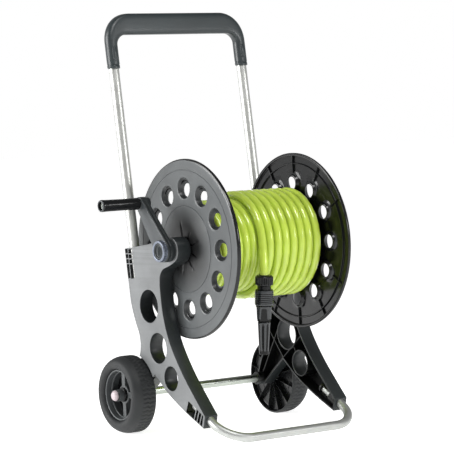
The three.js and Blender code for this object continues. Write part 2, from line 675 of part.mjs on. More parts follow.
function connectorCollar() {
  return onConnector([
    [16.4, 30.5], [19, 31.5], [19.8, 34], [19.8, 60], [19, 63.5], [16.4, 63.5], [16.4, 30.5],
  ], 16);
}

function nozzleStem() {
  return onConnector([
    [0, 48.3], [8, 48.3], [8, 64.5], [18, 65], [18, 70], [16.5, 96], [13, 98], [7, 98.3], [7, 140], [0, 144],
  ], 16);
}

function nozzleBarrel() {
  return onConnector([
    [7.3, 98.8], [13, 98.8], [13.4, 104], [10, 166], [9, 168], [5, 168], [4, 150], [7.3, 144.5], [7.3, 98.8],
  ], 16);
}

// ---- the cart ----------------------------------------------------------------------------------

const cart = new THREE.Group();

function add(name, body, look) {
  const mesh = new THREE.Mesh(geometryOf(body), look);
  mesh.name = name;
  cart.add(mesh);
}

// The same piece on both sides, from its right-hand form.
function addPair(name, body, look) {
  add(`left_${name}`, mirrored(body), look);
  add(`right_${name}`, body, look);
}

addPair('side_frame', sideFrame(), ANTHRACITE);
addPair('handle_tube', handleTube(), ALUMINIUM);
addPair('handle_screw', screw(handleAt(151, SCREW_Z), handleAt(163, SCREW_Z)), CHROME);
add('handle_grip', handleGrip(), GRIP_GREY);
add('foot_tube', footTube(), ALUMINIUM);
add('axle_tube', axleTube(), CHROME);
addPair('wheel_washer', wheelWasher(), BLACK_PLASTIC);
addPair('wheel_hub', wheelHub(), TYRE_GREY);
addPair('tyre', tyre(), TYRE_GREY);
addPair('axle_cap', axleCap(), WHITE_CAP);

addPair('flange', flange(), ANTHRACITE);
for (let i = 0; i < HUB_SCREWS.count; i += 1) addPair(`hub_screw_${i + 1}`, hubScrew(i), CHROME);
add('drum_core', drumCore(), BLACK_PLASTIC);
add('drum_sleeve', drumSleeve(), BLACK_PLASTIC);
add('crank_spindle', crankSpindle(), BLACK_PLASTIC);
add('water_spindle', waterSpindle(), BLACK_PLASTIC);
add('outlet_elbow', outletElbow(), BLACK_PLASTIC);
add('seal_ring', sealRing(), RUBBER);
add('inlet_swivel', inletSwivel(), BLACK_PLASTIC);

add('crank_arm', crankArm(), ANTHRACITE);
add('crank_ring', crankRing(), CHROME);
add('crank_cap', crankCap(), GRIP_GREY);
add('crank_pin', crankPin(), CHROME);
add('crank_pin_screw', crankPinScrew(), CHROME);
add('crank_grip', crankGrip(), BLACK_PLASTIC);

add('hose_winding', hoseWinding(), HOSE_GREEN);
add('hose_tail', hoseTail(), HOSE_GREEN);
add('hose_nut', hoseNut(), BLACK_PLASTIC);
add('connector_body', connectorBody(), BLACK_PLASTIC);
add('connector_collar', connectorCollar(), BLACK_PLASTIC);
add('nozzle_stem', nozzleStem(), BLACK_PLASTIC);
add('nozzle_barrel', nozzleBarrel(), BLACK_PLASTIC);

// The finished part stands on the ground with its origin under the middle of its footprint.
cart.position.set(-ORIGIN.x, -ORIGIN.y, 0);

export default cart;
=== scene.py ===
# The looks of the garden hose reel cart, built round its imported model.
# Shapes are drawn in millimetres in the cart's own frame: X along the reel axis with 0 half way between
# the side frames, Y to the rear with 0 on the reel axis, Z above the ground. row() gives row metres.

from math import acos, atan2, ceil, copysign, cos, hypot, pi, radians, sin

import bmesh
import bpy
from mathutils import Matrix, Vector
from mathutils.geometry import tessellate_polygon
from mathutils.kdtree import KDTree


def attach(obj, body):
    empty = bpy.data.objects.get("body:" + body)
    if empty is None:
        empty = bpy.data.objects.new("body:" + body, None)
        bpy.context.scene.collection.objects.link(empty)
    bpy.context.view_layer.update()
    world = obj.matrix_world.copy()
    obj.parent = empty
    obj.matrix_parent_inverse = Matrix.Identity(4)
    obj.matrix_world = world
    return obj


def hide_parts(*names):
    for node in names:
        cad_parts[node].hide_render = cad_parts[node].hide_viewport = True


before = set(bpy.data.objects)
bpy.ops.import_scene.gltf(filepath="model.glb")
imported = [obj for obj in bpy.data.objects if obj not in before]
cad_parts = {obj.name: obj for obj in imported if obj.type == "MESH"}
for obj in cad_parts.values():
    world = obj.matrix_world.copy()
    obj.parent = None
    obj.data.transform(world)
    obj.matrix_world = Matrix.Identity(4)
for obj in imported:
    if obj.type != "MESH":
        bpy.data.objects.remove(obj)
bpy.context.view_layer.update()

# ---- dimensions ----

SHIFT = Vector((33.5, -31.9, 0.0))
REEL_Z = 396.6

FRAME_INNER, FRAME_OUTER, FRAME_MID = 152.2, 185.5, 168.8
HEAD_R = 27
FRAME_HOLES = [(95.4, 275.4, 35.3), (66.4, 187.1, 32.5), (21.2, 125.4, 26)]

HANDLE_R, HANDLE_LEAN, HANDLE_Y, HANDLE_Z = 11, 0.13, 167.2, 400
HANDLE_LOW, HANDLE_HIGH = 302, 838
GRIP_TOP, GRIP_BAR, GRIP_DEPTH, GRIP_LEG, GRIP_LOW = 906, 47, 27, 26.5, 786
GRIP_CORNER, GRIP_INSIDE = 63, 22

FOOT_R, FOOT_Y, FOOT_Z, FOOT_SLOPE = 9.3, -98, 43.48, radians(29)
FOOT_BEND, FOOT_STRAIGHT, FOOT_INSIDE = 62, 8.5, 61

AXLE_R, AXLE_Y, AXLE_Z, AXLE_END, AXLE_BOSS = 9, 170.3, 83.5, 234, 15
WHEEL_OUT, WHEEL_SEAT, WHEEL_DISC, WHEEL_BACK = 234, 55, 207, 191
SPOKES, SPOKE_HALF, GAP_OUTER_R, GAP_INNER_R, WHEEL_RIBS = 4, 6.2, 49, 20, 12
RECESS_R, RECESS_FLOOR = 88, 178

FLANGE_R, FLANGE_FACE, FLANGE_RIM, FLANGE_WALL = 190, 146, 8.5, 3
FLANGE_SIDES, FLANGE_HOLES = 120, 12
PANEL_IN, PANEL_OUT = 92.4, 163
DISH_R, REEL_HUB_R, REEL_HUB_FACE, REEL_BOSS = 91, 26, 150.8, 139
HUB_SCREW_RING, HUB_SCREW_X = 21.3, 150.2
THROAT_AT, THROAT_R, MOUTH_AT, MOUTH_R, FUNNEL_DEPTH = 124, 14.2, 129.2, 23.6, 10.5
SPINDLE_R, PLAY = 15.8, 0.4
REEL_BORE_R, AXLE_BORE_R = SPINDLE_R + PLAY, AXLE_R + PLAY

CRANK_HUB, CRANK_TIP_R, CRANK_Y, CRANK_Z = 24, 14, 72, 99.4
CRANK_FACE, CRANK_THICK, CRANK_LEAN = 207, 15, 6
CRANK_NEAR, RING_OUT, RING_NOTCH, RING_TEETH = -CRANK_FACE + CRANK_THICK, 22.6, 20.9, 26
CRANK_TIP = (0, CRANK_Y, REEL_Z + CRANK_Z)

HOSE_D, HOSE_LENGTH = 17.9, 20.0
HOSE_LAYERS = [(76.5, 113, -103), (92, -124, 124), (107.5, 126, -25.05)]
HOSE_PITCH, HOSE_CLIMB, HOSE_STEPS = 18.1, 0.55, 30
HOSE_START, HOSE_END = radians(10.6), radians(77)
CONNECTOR = Vector((-35, -122, 338))
CONNECTOR_AXIS = Vector((0, 0.08, -1)).normalized()
HOSE_IN_COUPLING = 24

HANDLE_SCREW_X, HANDLE_SCREW_Z = 151, 322
X_AXIS = Vector((1, 0, 0))
AXIS_IN_ROW = (SHIFT.y / 1000, REEL_Z / 1000)
# Radii in metres over which the painted shade round the reel's hub fades out.
HUB_SHADE_R = (0.052, 0.1)


def row(p):
    return (Vector(p) + SHIFT) / 1000


def around(count):
    """Angles spaced evenly round a circle."""
    return [2 * pi * k / count for k in range(count)]


def unit(angle):
    return Vector((cos(angle), sin(angle)))


def off_reel(p):
    """How far a point lies from the reel's axis."""
    return hypot(p.y, p.z - REEL_Z)


def off_axle(p):
    return hypot(p.y - AXLE_Y, p.z - AXLE_Z)


def off_connector(p):
    """How far a point lies along the connector's axis, and how far from it."""
    offset = p - CONNECTOR
    along = offset.dot(CONNECTOR_AXIS)
    return along, (offset - CONNECTOR_AXIS * along).length


def handle_at(x, z):
    return Vector((x, HANDLE_Y + HANDLE_LEAN * (z - HANDLE_Z), z))


def foot_at(x, distance):
    """A point on the foot tube's leg, at a distance in front of where it leaves the side frame."""
    return Vector((x, FOOT_Y - distance * cos(FOOT_SLOPE),
                   FOOT_Z - distance * sin(FOOT_SLOPE)))


def linked(name, data):
    """A new object in the scene."""
    made = bpy.data.objects.new(name, data)
    bpy.context.scene.collection.objects.link(made)
    return made


# ---- camera ----

def make_camera():
    azimuth, elevation, roll = map(radians, (-34.4954, 2.6172, -2.5883))
    back = Vector((sin(azimuth) * cos(elevation), -cos(azimuth) * cos(elevation),
                   sin(elevation)))
    level = Vector((cos(azimuth), sin(azimuth), 0))
    rise = back.cross(level)
    right = level * cos(roll) + rise * sin(roll)
    up = rise * cos(roll) - level * sin(roll)
    data = bpy.data.cameras.new("camera")
    data.lens, data.sensor_width = 173.1375, 36
    data.clip_start, data.clip_end = 0.1, 200
    camera = linked("camera", data)
    place = Matrix((right, up, back)).transposed().to_4x4()
    place.translation = row((-2667.8, -3824.6, 648.7))
    camera.matrix_world = place
    bpy.context.scene.camera = camera


# ---- materials ----

def colour(r, g, b):
    """A colour given as it looks on a screen, 0 to 255, as the shader needs it."""
    def linear(c):
        c /= 255
        return c / 12.92 if c <= 0.04045 else ((c + 0.055) / 1.055) ** 2.4
    return (linear(r), linear(g), linear(b), 1)


class Look:
    """A material under construction: small helpers round its node tree."""

    def __init__(self, name):
        self.material = bpy.data.materials.new(name)
        self.material.use_nodes = True
        self.tree = self.material.node_tree
        self.shader = self.tree.nodes["Principled BSDF"]
        self.place = self.node("ShaderNodeTexCoord").outputs["Object"]

    def node(self, kind, settings=None, **inputs):
        made = self.tree.nodes.new(kind)
        for key, value in (settings or {}).items():
            setattr(made, key, value)
        for key, value in inputs.items():
            self.feed(made.inputs[key.replace("_", " ")], value)
        return made

    def feed(self, socket, value):
        if isinstance(value, bpy.types.NodeSocket):
            self.tree.links.new(value, socket)
        else:
            socket.default_value = value

    def set(self, **inputs):
        for key, value in inputs.items():
            self.feed(self.shader.inputs[key.replace("_", " ")], value)

    def stretched(self, scale, shift=(0, 0, 0)):
        mapping = self.node("ShaderNodeMapping", Vector=self.place)
        mapping.inputs["Scale"].default_value = scale
        mapping.inputs["Location"].default_value = shift
        return mapping.outputs["Vector"]

    def noise(self, scale, detail, vector=None, roughness=0.55):
        made = self.node("ShaderNodeTexNoise", Vector=vector or self.place, Scale=scale,
                         Detail=detail, Roughness=roughness)
        return made.outputs["Fac"]

    def band(self, value, low, high, to_low=0.0, to_high=1.0):
        made = self.node("ShaderNodeMapRange", Value=value, From_Min=low, From_Max=high,
                         To_Min=to_low, To_Max=to_high)
        return made.outputs["Result"]

    def times(self, a, b):
        made = self.node("ShaderNodeMath", {"operation": "MULTIPLY"})
        self.feed(made.inputs[0], a)
        self.feed(made.inputs[1], b)
        return made.outputs[0]

    def mix(self, factor, a, b):
        made = self.node("ShaderNodeMix", {"data_type": "RGBA"})
        self.feed(made.inputs[0], factor)
        self.feed(made.inputs[6], a)
        self.feed(made.inputs[7], b)
        return made.outputs[2]

    def bump(self, height, strength, distance, normal=None):
        made = self.node("ShaderNodeBump", Height=height, Strength=strength, Distance=distance)
        if normal is not None:
            self.feed(made.inputs["Normal"], normal)
        return made.outputs["Normal"]

    def edges(self, low=0.53, high=0.62):
        return self.band(self.node("ShaderNodeNewGeometry").outputs["Pointiness"], low, high)


def scaled(c, k):
    return (min(c[0] * k, 1), min(c[1] * k, 1), min(c[2] * k, 1), 1)


def plastic(name, base, rough, grain=900, bump=0.12, wear_and_highlight=0.35, specular=0.5,
            hub_shade=False):
    """Moulded plastic: faint mottling, fine mould grain, hairline scratches, rubbed edges that also
    stand as painted edge highlights, and on request painted shade darkening towards the reel's hub.
    """
    look = Look(name)
    mottle = look.noise(14, 5)
    tone = look.mix(look.band(mottle, 0.3, 0.7), scaled(base, 0.86), scaled(base, 1.14))
    scratches = look.band(look.noise(1, 2, look.stretched((60, 60, 1100))), 0.68, 0.74)
    marks = look.times(scratches, look.band(look.noise(30, 2), 0.5, 0.62, 0.0, 0.5))
    tone = look.mix(marks, tone, scaled(base, 1.9))
    # Edges lightened by pointiness: rubbed wear, and also a painted highlight along edges.
    tone = look.mix(look.times(look.edges(), wear_and_highlight), tone, scaled(base, 2.2))
    # Painted shade: the colour darkens towards the reel's hub.
    if hub_shade:
        centred = look.stretched((0, 1, 1), (0, -AXIS_IN_ROW[0], -AXIS_IN_ROW[1]))
        radius = look.node("ShaderNodeVectorMath", {"operation": "LENGTH"}, Vector=centred)
        tone = look.mix(look.band(radius.outputs["Value"], *HUB_SHADE_R), scaled(base, 0.04), tone)
    dust = look.band(look.noise(6, 6, roughness=0.7), 0.42, 0.75, rough - 0.05, rough + 0.09)
    fine = look.bump(look.noise(grain, 2), bump, 0.00025)
    look.set(Base_Color=tone, Roughness=dust, Normal=look.bump(mottle, 0.05, 0.001, fine),
             Specular_IOR_Level=specular)
    return look.material


def metal(name, base, rough, brushed=(500, 500, 5), bump=0.02):
    """Bright metal: drawing lines along the tube, faint clouding and a few fine marks."""
    look = Look(name)
    lines = look.noise(1, 2, look.stretched(brushed))
    cloud = look.noise(22, 4)
    tone = look.mix(look.band(cloud, 0.35, 0.7), scaled(base, 0.9), base)
    tone = look.mix(look.band(lines, 0.5, 0.8, 0, 0.25), tone, scaled(base, 0.75))
    gloss = look.band(look.noise(60, 3), 0.3, 0.7, rough - 0.04, rough + 0.06)
    look.set(Base_Color=tone, Metallic=1.0, Roughness=gloss, Normal=look.bump(lines, bump, 0.0002),
             Anisotropic=0.2)
    return look.material


def hose_skin():
    """Flexible hose: a glossy skin with a slight waviness and a few scuffs."""
    look = Look("hose_skin")
    base = colour(188, 211, 76)
    wave = look.noise(30, 3)
    tone = look.mix(look.band(wave, 0.3, 0.72), scaled(base, 0.9), scaled(base, 1.06))
    specks = look.band(look.noise(420, 2), 0.68, 0.78, 0, 0.18)
    tone = look.mix(specks, tone, scaled(base, 0.6))
    gloss = look.band(look.noise(60, 3), 0.3, 0.7, 0.17, 0.27)
    look.set(Base_Color=tone, Roughness=gloss, Coat_Weight=0.6, Coat_Roughness=0.12,
             Subsurface_Weight=0.1, Subsurface_Scale=0.003, Normal=look.bump(wave, 0.06, 0.0015))
    look.shader.inputs["Subsurface Radius"].default_value = (0.8, 1.0, 0.4)
    return look.material


def tyre_rubber():
    look = Look("tyre_rubber")
    base = colour(31, 33, 34)
    patches = look.noise(25, 5)
    tone = look.mix(look.band(patches, 0.3, 0.7), scaled(base, 0.8), scaled(base, 1.2))
    tone = look.mix(look.times(look.edges(0.5, 0.6), 0.5), tone, scaled(base, 1.8))
    pores = look.node("ShaderNodeTexVoronoi", Vector=look.place, Scale=700.0).outputs["Distance"]
    look.set(Base_Color=tone, Roughness=look.band(patches, 0.3, 0.7, 0.5, 0.68),
             Normal=look.bump(pores, 0.15, 0.0003), Specular_IOR_Level=0.45)
    return look.material


# Lit and shaded copies of one grey plastic: the lighter grey for outward faces is painted light, the
# dark grey for edges is painted shade.
FRAME_LIT_FACE = plastic("frame_lit_face", colour(112, 114, 115), 0.42, bump=0.08, wear_and_highlight=0.3)
SHADED_EDGE = plastic("shaded_edge", colour(29, 33, 34), 0.4, bump=0.08, wear_and_highlight=0.4)
# Painted shade: near-black for the hollow inside of the side frames, with strongly lightened edges as
# painted highlights.
FRAME_INSIDE_SHADE = plastic("frame_inside_shade", colour(12, 13, 13), 0.36, bump=0.08, wear_and_highlight=0.7, specular=0.3)
ARM_GREY = plastic("crank_satin", colour(64, 68, 70), 0.4, bump=0.08, wear_and_highlight=0.3)
# Painted shade for the sloping walls of the flange's funnels.
FUNNEL_SHADE = plastic("funnel_shade", colour(44, 46, 47), 0.34, bump=0.06, wear_and_highlight=0.25)
# The flange's outward face darkens towards the hub as painted shade.
FLANGE_SATIN = plastic("flange_satin", colour(80, 83, 84), 0.36, bump=0.06, wear_and_highlight=0.25, hub_shade=True)
GLOSS_BLACK = plastic("gloss_black", colour(13, 14, 15), 0.2, bump=0.04, wear_and_highlight=0.25, specular=0.38)
BLACK = plastic("black_plastic", colour(17, 18, 19), 0.26, bump=0.05, wear_and_highlight=0.4, specular=0.4)
GRIP_GREY = plastic("grip_blue_grey", colour(37, 44, 46), 0.36, grain=700, bump=0.08, wear_and_highlight=0.2)
SPOKE_GREY = plastic("hub_grey", colour(78, 81, 82), 0.4, wear_and_highlight=0.3)
# Painted shade: near-black for the connector's grooves and hollows. Painted highlight: a lighter black
# for its ridges.
CONNECTOR_SHADE = plastic("connector_shade", colour(7, 8, 8), 0.3, bump=0.04, wear_and_highlight=0.0, specular=0.25)
RIDGE_HIGHLIGHT = plastic("ridge_highlight", colour(38, 41, 43), 0.25, bump=0.04, wear_and_highlight=0.4, specular=0.6)
OFF_WHITE = plastic("cap_white", colour(196, 182, 186), 0.34, bump=0.04, wear_and_highlight=0.0)
SEAL_BLACK = plastic("seal_black", colour(16, 16, 16), 0.6, wear_and_highlight=0.0)
UPRIGHT_TUBE = metal("upright_tube", colour(206, 207, 203), 0.36, (500, 0, 0), 0.0)
LYING_TUBE = metal("lying_tube", colour(190, 192, 189), 0.46, (3, 40, 40), 0.0)
CHROME = metal("chrome_plate", colour(196, 202, 194), 0.3, brushed=(8, 100, 100), bump=0.0)
SILVER = metal("silver_ring", colour(128, 134, 146), 0.4, brushed=(300, 300, 300))
HOSE_GREEN = hose_skin()
TYRE = tyre_rubber()


# ---- mesh building ----

def merged(*shells):
    """Several (vertices, faces) shells as one."""
    vertices, faces = [], []
    for v, f in shells:
        start = len(vertices)
        vertices += v
        faces += [tuple(i + start for i in face) for face in f]
    return vertices, faces


def flipped(shell):
    """The same shell on the other side of the cart."""
    vertices, faces = shell
    return [(-x, y, z) for x, y, z in vertices], [tuple(reversed(face)) for face in faces]


def mesh_of(name, shell):
    vertices, faces = shell
    mesh = bpy.data.meshes.new(name)
    mesh.from_pydata([row(v) for v in vertices], [], faces)
    body = bmesh.new()
    body.from_mesh(mesh)
    bmesh.ops.remove_doubles(body, verts=body.verts, dist=1e-6)
    bmesh.ops.dissolve_degenerate(body, edges=body.edges, dist=1e-7)
    bmesh.ops.recalc_face_normals(body, faces=body.faces)
    body.to_mesh(mesh)
    body.free()
    return mesh


def show(name, data, body, replaces):
    obj = linked(name, data)
    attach(obj, body)
    if replaces:
        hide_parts(*replaces)
    return obj


def piece(name, shell, look, body, replaces, slot, sharp=38):
    """A finished piece. look is a material, or one followed by (material, rule) pairs for its faces."""
    mesh = mesh_of(name, shell)
    base, *others = look if isinstance(look, tuple) else (look,)
    for material in (base, *(other for other, rule in others)):
        mesh.materials.append(material)
    if others:
        for face in mesh.polygons:
            centre = face.center * 1000 - SHIFT
            picked = [i for i, (other, rule) in enumerate(others, 1) if rule(centre, face.normal)]
            face.material_index = picked[0] if picked else 0
    mesh.shade_smooth()
    mesh.set_sharp_from_angle(angle=radians(sharp))
    return show(name, mesh, body, replaces)


def part(node, shell, look, body, slot, **settings):
    """A piece that stands for one CAD node and is named after it."""
    return piece(f"{node}_look", shell, look, body, [node], slot, **settings)


def softened(profile, radius, closed=True, steps=3):
    """A profile with its corners rounded."""
    count = len(profile)
    result = []
    for i, (r, s) in enumerate(profile):
        if not closed and i in (0, count - 1):
            result.append((r, s))
            continue
        here = Vector((r, s))
        before = Vector(profile[(i - 1) % count]) - here
        after = Vector(profile[(i + 1) % count]) - here
        reach = min(radius, 0.45 * before.length, 0.45 * after.length)
        a, b = here + before.normalized() * reach, here + after.normalized() * reach
        for k in range(steps + 1):
            t = k / steps
            result.append(tuple(a * (1 - t) ** 2 + here * (2 * t * (1 - t)) + b * t ** 2))
    return result


def sleeve(inner, outer, start, end, rounding):
    """The profile of a plain ring."""
    return softened([(inner, start), (outer, start), (outer, end), (inner, end)], rounding)


def lathe(profile, sides=64, base=(0, 0, REEL_Z), axis=X_AXIS, closed=True, wave=None):
    """A (radius, distance) profile turned about an axis. wave(angle, r, distance) moves a radius."""
    axis = Vector(axis).normalized()
    side = Vector((0, 1, 0)) if abs(axis.x) > 0.9 else X_AXIS
    other = axis.cross(side).normalized()
    base = Vector(base)
    vertices = []
    for angle in around(sides):
        out = side * cos(angle) + other * sin(angle)
        for r, s in profile:
            reach = wave(angle, r, s) if wave else r
            vertices.append(tuple(base + axis * s + out * reach))
    n = len(profile)
    faces = []
    for i in range(sides):
        for j in range(n if closed else n - 1):
            a, b = i * n + j, i * n + (j + 1) % n
            c, d = ((i + 1) % sides) * n + (j + 1) % n, ((i + 1) % sides) * n + j
            faces.append((a, b, c, d))
    return vertices, faces


def on_axle(profile, sides=64, wave=None, closed=True):
    return lathe(profile, sides, (0, AXLE_Y, AXLE_Z), X_AXIS, closed, wave)


def loft(sections, capped=True):
    """Rings of equally many points joined into a skin."""
    n = len(sections[0])
    vertices = [tuple(p) for ring in sections for p in ring]
    faces = []
    for i in range(len(sections) - 1):
        for j in range(n):
            k = (j + 1) % n
            faces.append((i * n + j, i * n + k, (i + 1) * n + k, (i + 1) * n + j))
    if capped:
        faces.append(tuple(range(n)))
        faces.append(tuple((len(sections) - 1) * n + j for j in range(n)))
    return vertices, faces


def tube(path, radius, sides, wall):
    """A round tube along a path of points, its ends slightly rounded and bored a short way in."""
    points = [Vector(p) for p in path]
    last = len(points) - 1
    ways = [(points[min(i + 1, last)] - points[max(i - 1, 0)]).normalized() for i in range(last + 1)]
    normals = [ways[0].orthogonal().normalized()]
    for before, way in zip(ways, ways[1:]):
        normals.append(before.rotation_difference(way) @ normals[-1])

    def ring(i, r, along=0.0):
        p, way, n = points[i], ways[i], normals[i]
        b = way.cross(n)
        return [p + way * along + (n * cos(a) + b * sin(a)) * r for a in around(sides)]

    rounding, bored = 0.8, 25
    end = [(radius - wall, bored), (radius - wall, 0), (radius - rounding, 0),
           (radius - 0.3 * rounding, 0.3 * rounding), (radius, rounding)]
    return loft([ring(0, r, along) for r, along in end] + [ring(i, radius) for i in range(1, last)]
                + [ring(last, r, -along) for r, along in reversed(end)])


def bar(a, b, radius, sides=32):
    a, b = Vector(a), Vector(b)
    axis = (b - a).normalized()
    side = axis.orthogonal().normalized()
    other = axis.cross(side)
    return loft([[p + (side * cos(t) + other * sin(t)) * radius for t in around(sides)] for p in (a, b)])


def moved_in(loop, distance):
    """A loop moved to its left: into the material of an anticlockwise outline or a clockwise hole."""
    result = []
    count = len(loop)
    for i in range(count):
        here = Vector(loop[i])
        d1 = (here - Vector(loop[i - 1])).normalized()
        d2 = (Vector(loop[(i + 1) % count]) - here).normalized()
        n1, n2 = Vector((-d1.y, d1.x)), Vector((-d2.y, d2.x))
        middle = (n1 + n2).normalized()
        result.append(tuple(here + middle * min(distance / max(middle.dot(n1), 0.5), 1.6 * distance)))
    return result


def area(loop):
    return sum(loop[i - 1][0] * loop[i][1] - loop[i][0] * loop[i - 1][1] for i in range(len(loop))) / 2


def slab(outline, holes, x0, x1, round0=0.0, round1=0.0, steps=3):
    """A (y, z) outline with holes, thickened from x0 to x1, with rounded rims on either face."""
    loops = [outline if area(outline) > 0 else outline[::-1]]
    loops += [hole if area(hole) < 0 else hole[::-1] for hole in holes]
    levels = []
    for k in range(steps + 1 if round0 else 1):
        t = pi / 2 * k / steps
        levels.append((x0 + round0 * (1 - cos(t)), round0 * (1 - sin(t))))
    for k in range(steps + 1 if round1 else 1):
        t = pi / 2 * (1 - k / steps)
        levels.append((x1 - round1 * (1 - cos(t)), round1 * (1 - sin(t))))
    vertices, faces = [], []
    n = sum(len(loop) for loop in loops)
    for x, inward in levels:
        for loop in loops:
            vertices += [(x, y, z) for y, z in (moved_in(loop, inward) if inward else loop)]
    for level in range(len(levels) - 1):
        start = 0
        for loop in loops:
            for i in range(len(loop)):
                j = (i + 1) % len(loop)
                a, b = level * n + start + i, level * n + start + j
                faces.append((a, b, b + n, a + n))
            start += len(loop)
    for first in (0, (len(levels) - 1) * n):
        flat, start = [], first
        for loop in loops:
            flat.append([Vector((*vertices[start + i][1:], 0)) for i in range(len(loop))])
            start += len(loop)
        faces += [tuple(first + i for i in triangle) for triangle in tessellate_polygon(flat)]
    return vertices, faces


def circle(y, z, r, sides=64):
    return [(y + r * cos(t), z + r * sin(t)) for t in around(sides)]


def plank(a, b, x0, x1, thickness=2.4):
    """A flat rib between two (y, z) points, with rounded long edges."""
    a, b = Vector(a), Vector(b)
    side = Vector((-(b - a).y, (b - a).x)).normalized() * thickness / 2
    return slab([tuple(p) for p in (a + side, a - side, b - side, b + side)], [], x0, x1, 0.5)


def through(points, steps=6):
    """A smooth line through points, without its first one."""
    points = [Vector(p) for p in points]
    last = len(points) - 1
    result = []
    for i in range(last):
        p0, p1, p2, p3 = points[max(i - 1, 0)], points[i], points[i + 1], points[min(i + 2, last)]
        for k in range(1, steps + 1):
            t = k / steps
            v0, v1 = (p2 - p0) / 2, (p3 - p1) / 2
            cubic, square = p1 * 2 - p2 * 2 + v0 + v1, p2 * 3 - p1 * 3 - v0 * 2 - v1
            result.append(tuple(cubic * t ** 3 + square * t ** 2 + v0 * t + p1))
    return result


def arc(y, z, r, start, end, steps):
    return [(y + r * cos(t), z + r * sin(t))
            for t in (start + (end - start) * k / steps for k in range(steps + 1))]


def carved(name, shell, cutters):
    """A shell with others cut away from it."""
    target = linked(name, mesh_of(name, shell))
    helpers = []
    for i, cutter in enumerate(cutters):
        helper = linked(f"{name}_cut_{i}", mesh_of(f"{name}_cut_{i}", cutter))
        helpers.append(helper)
        cut = target.modifiers.new(helper.name, "BOOLEAN")
        cut.operation, cut.solver, cut.object = "DIFFERENCE", "EXACT", helper
    bpy.context.view_layer.update()
    evaluated = target.evaluated_get(bpy.context.evaluated_depsgraph_get())
    mesh = evaluated.to_mesh()
    result = ([tuple(v.co * 1000 - SHIFT) for v in mesh.vertices],
              [tuple(p.vertices) for p in mesh.polygons])
    evaluated.to_mesh_clear()
    for helper in [target, *helpers]:
        old = helper.data
        bpy.data.objects.remove(helper)
        bpy.data.meshes.remove(old)
    return result


def pair(name, shell, look, body, slot, **settings):
    """The same part on both sides of the cart. Its name, and a wheel's body, start with the side."""
    for side, form in (("left", flipped(shell)), ("right", shell)):
        rides = f"{side}_wheel" if body == "wheel" else body
        part(f"{side}_{name}", form, look, rides, slot, **settings)


# ---- hose ----

def on_drum(x, radius, angle):
    return (x, -radius * sin(angle), REEL_Z + radius * cos(angle))


def hose_route():
    """The hose's centreline: out of the elbow, three layers on the drum, then down to its coupling."""
    points, angle = [], HOSE_START
    top = len(HOSE_LAYERS) - 1
    for index, (radius, x0, x1) in enumerate(HOSE_LAYERS):
        turns = abs(x1 - x0) / HOSE_PITCH
        if index == top:
            turns = round(turns - 0.5) + (HOSE_END - angle % (2 * pi)) / (2 * pi)
            turns += 1 if turns < 7.3 else 0
        steps = max(2, round(turns * HOSE_STEPS))
        for k in range(steps + 1):
            t = k / steps
            a = angle + turns * 2 * pi * t
            wobble = 0.5 * sin(a * 0.37 + index) + 0.35 * sin(a * 1.13)
            if index == top and t > 0.9:
                wobble *= (1 - t) * 10
            points.append(on_drum(x0 + (x1 - x0) * t + wobble, radius, a))
        angle += turns * 2 * pi
        if index < top:
            next_radius, next_x = HOSE_LAYERS[index + 1][:2]
            rise = round(HOSE_CLIMB * HOSE_STEPS)
            for k in range(1, rise):
                t = k / rise
                smooth = t * t * (3 - 2 * t)
                points.append(on_drum(x1 + (next_x - x1) * smooth,
                                      radius + (next_radius - radius) * smooth,
                                      angle + HOSE_CLIMB * 2 * pi * t))
            angle += HOSE_CLIMB * 2 * pi
    a, d = Vector(points[-1]), CONNECTOR - CONNECTOR_AXIS * 0.5
    b = a + Vector((0, -cos(HOSE_END), -sin(HOSE_END))) * 10
    c = CONNECTOR - CONNECTOR_AXIS * 22
    for k in range(1, 9):
        t = k / 8
        points.append(tuple(a * (1 - t) ** 3 + b * (3 * t * (1 - t) ** 2)
                            + c * (3 * t * t * (1 - t)) + d * t ** 3))
    return points + [tuple(CONNECTOR + CONNECTOR_AXIS * HOSE_IN_COUPLING)]


def make_hose():
    route = hose_route()
    data = bpy.data.curves.new("hose", "CURVE")
    data.dimensions = "3D"
    data.bevel_depth = HOSE_D / 2000
    data.bevel_resolution = 5
    data.use_fill_caps = True
    data.twist_mode = "MINIMUM"
    spline = data.splines.new("POLY")
    spline.points.add(len(route) - 1)
    for point, place in zip(spline.points, route):
        point.co = (*row(place), 1)
    spline.use_smooth = True
    data.materials.append(HOSE_GREEN)
    return show("hose", data, "reel", ["hose_winding", "hose_tail"]), route


# ---- coupling and nozzle ----

def on_connector(profile, sides=96, closed=False, wave=None):
    return lathe(profile, sides, CONNECTOR, CONNECTOR_AXIS, closed, wave)


def ridges(count, depth, start, end):
    """A wave for a lathe: lengthwise grooves round the outside between two distances."""
    def wave(angle, r, s):
        if not start <= s <= end:
            return r
        fade = min(1, (s - start) / 1.5, (end - s) / 1.5)
        return r - depth * fade * (0.5 - 0.5 * cos(count * angle))
    return wave


def fine_steps(r, start, end, pitch, depth):
    """A row of rounded rings along a profile."""
    result = []
    count = round((end - start) / pitch)
    for i in range(count):
        s = start + i * pitch
        result += [(r, s), (r, s + 0.5 * pitch)]
        result += [(r - depth, s + 0.65 * pitch), (r - depth, s + 0.9 * pitch)]
    return result


def raised(radius, material):
    """A second look for what stands out beyond a radius on the connector's axis, lifting ridges out of
    the painted shade below them.
    """
    def rule(centre, normal):
        return off_connector(centre)[1] > radius
    return material, rule


PETALS, FLUTES = (66, 98), (102, 162)
BARREL_R, BARREL_TAPER = 13.4, 0.053


def seam(angle, r, s):
    """Two lengthwise seams in the collar."""
    return r - 0.7 if r > 17 and cos(2 * angle) > 0.985 else r


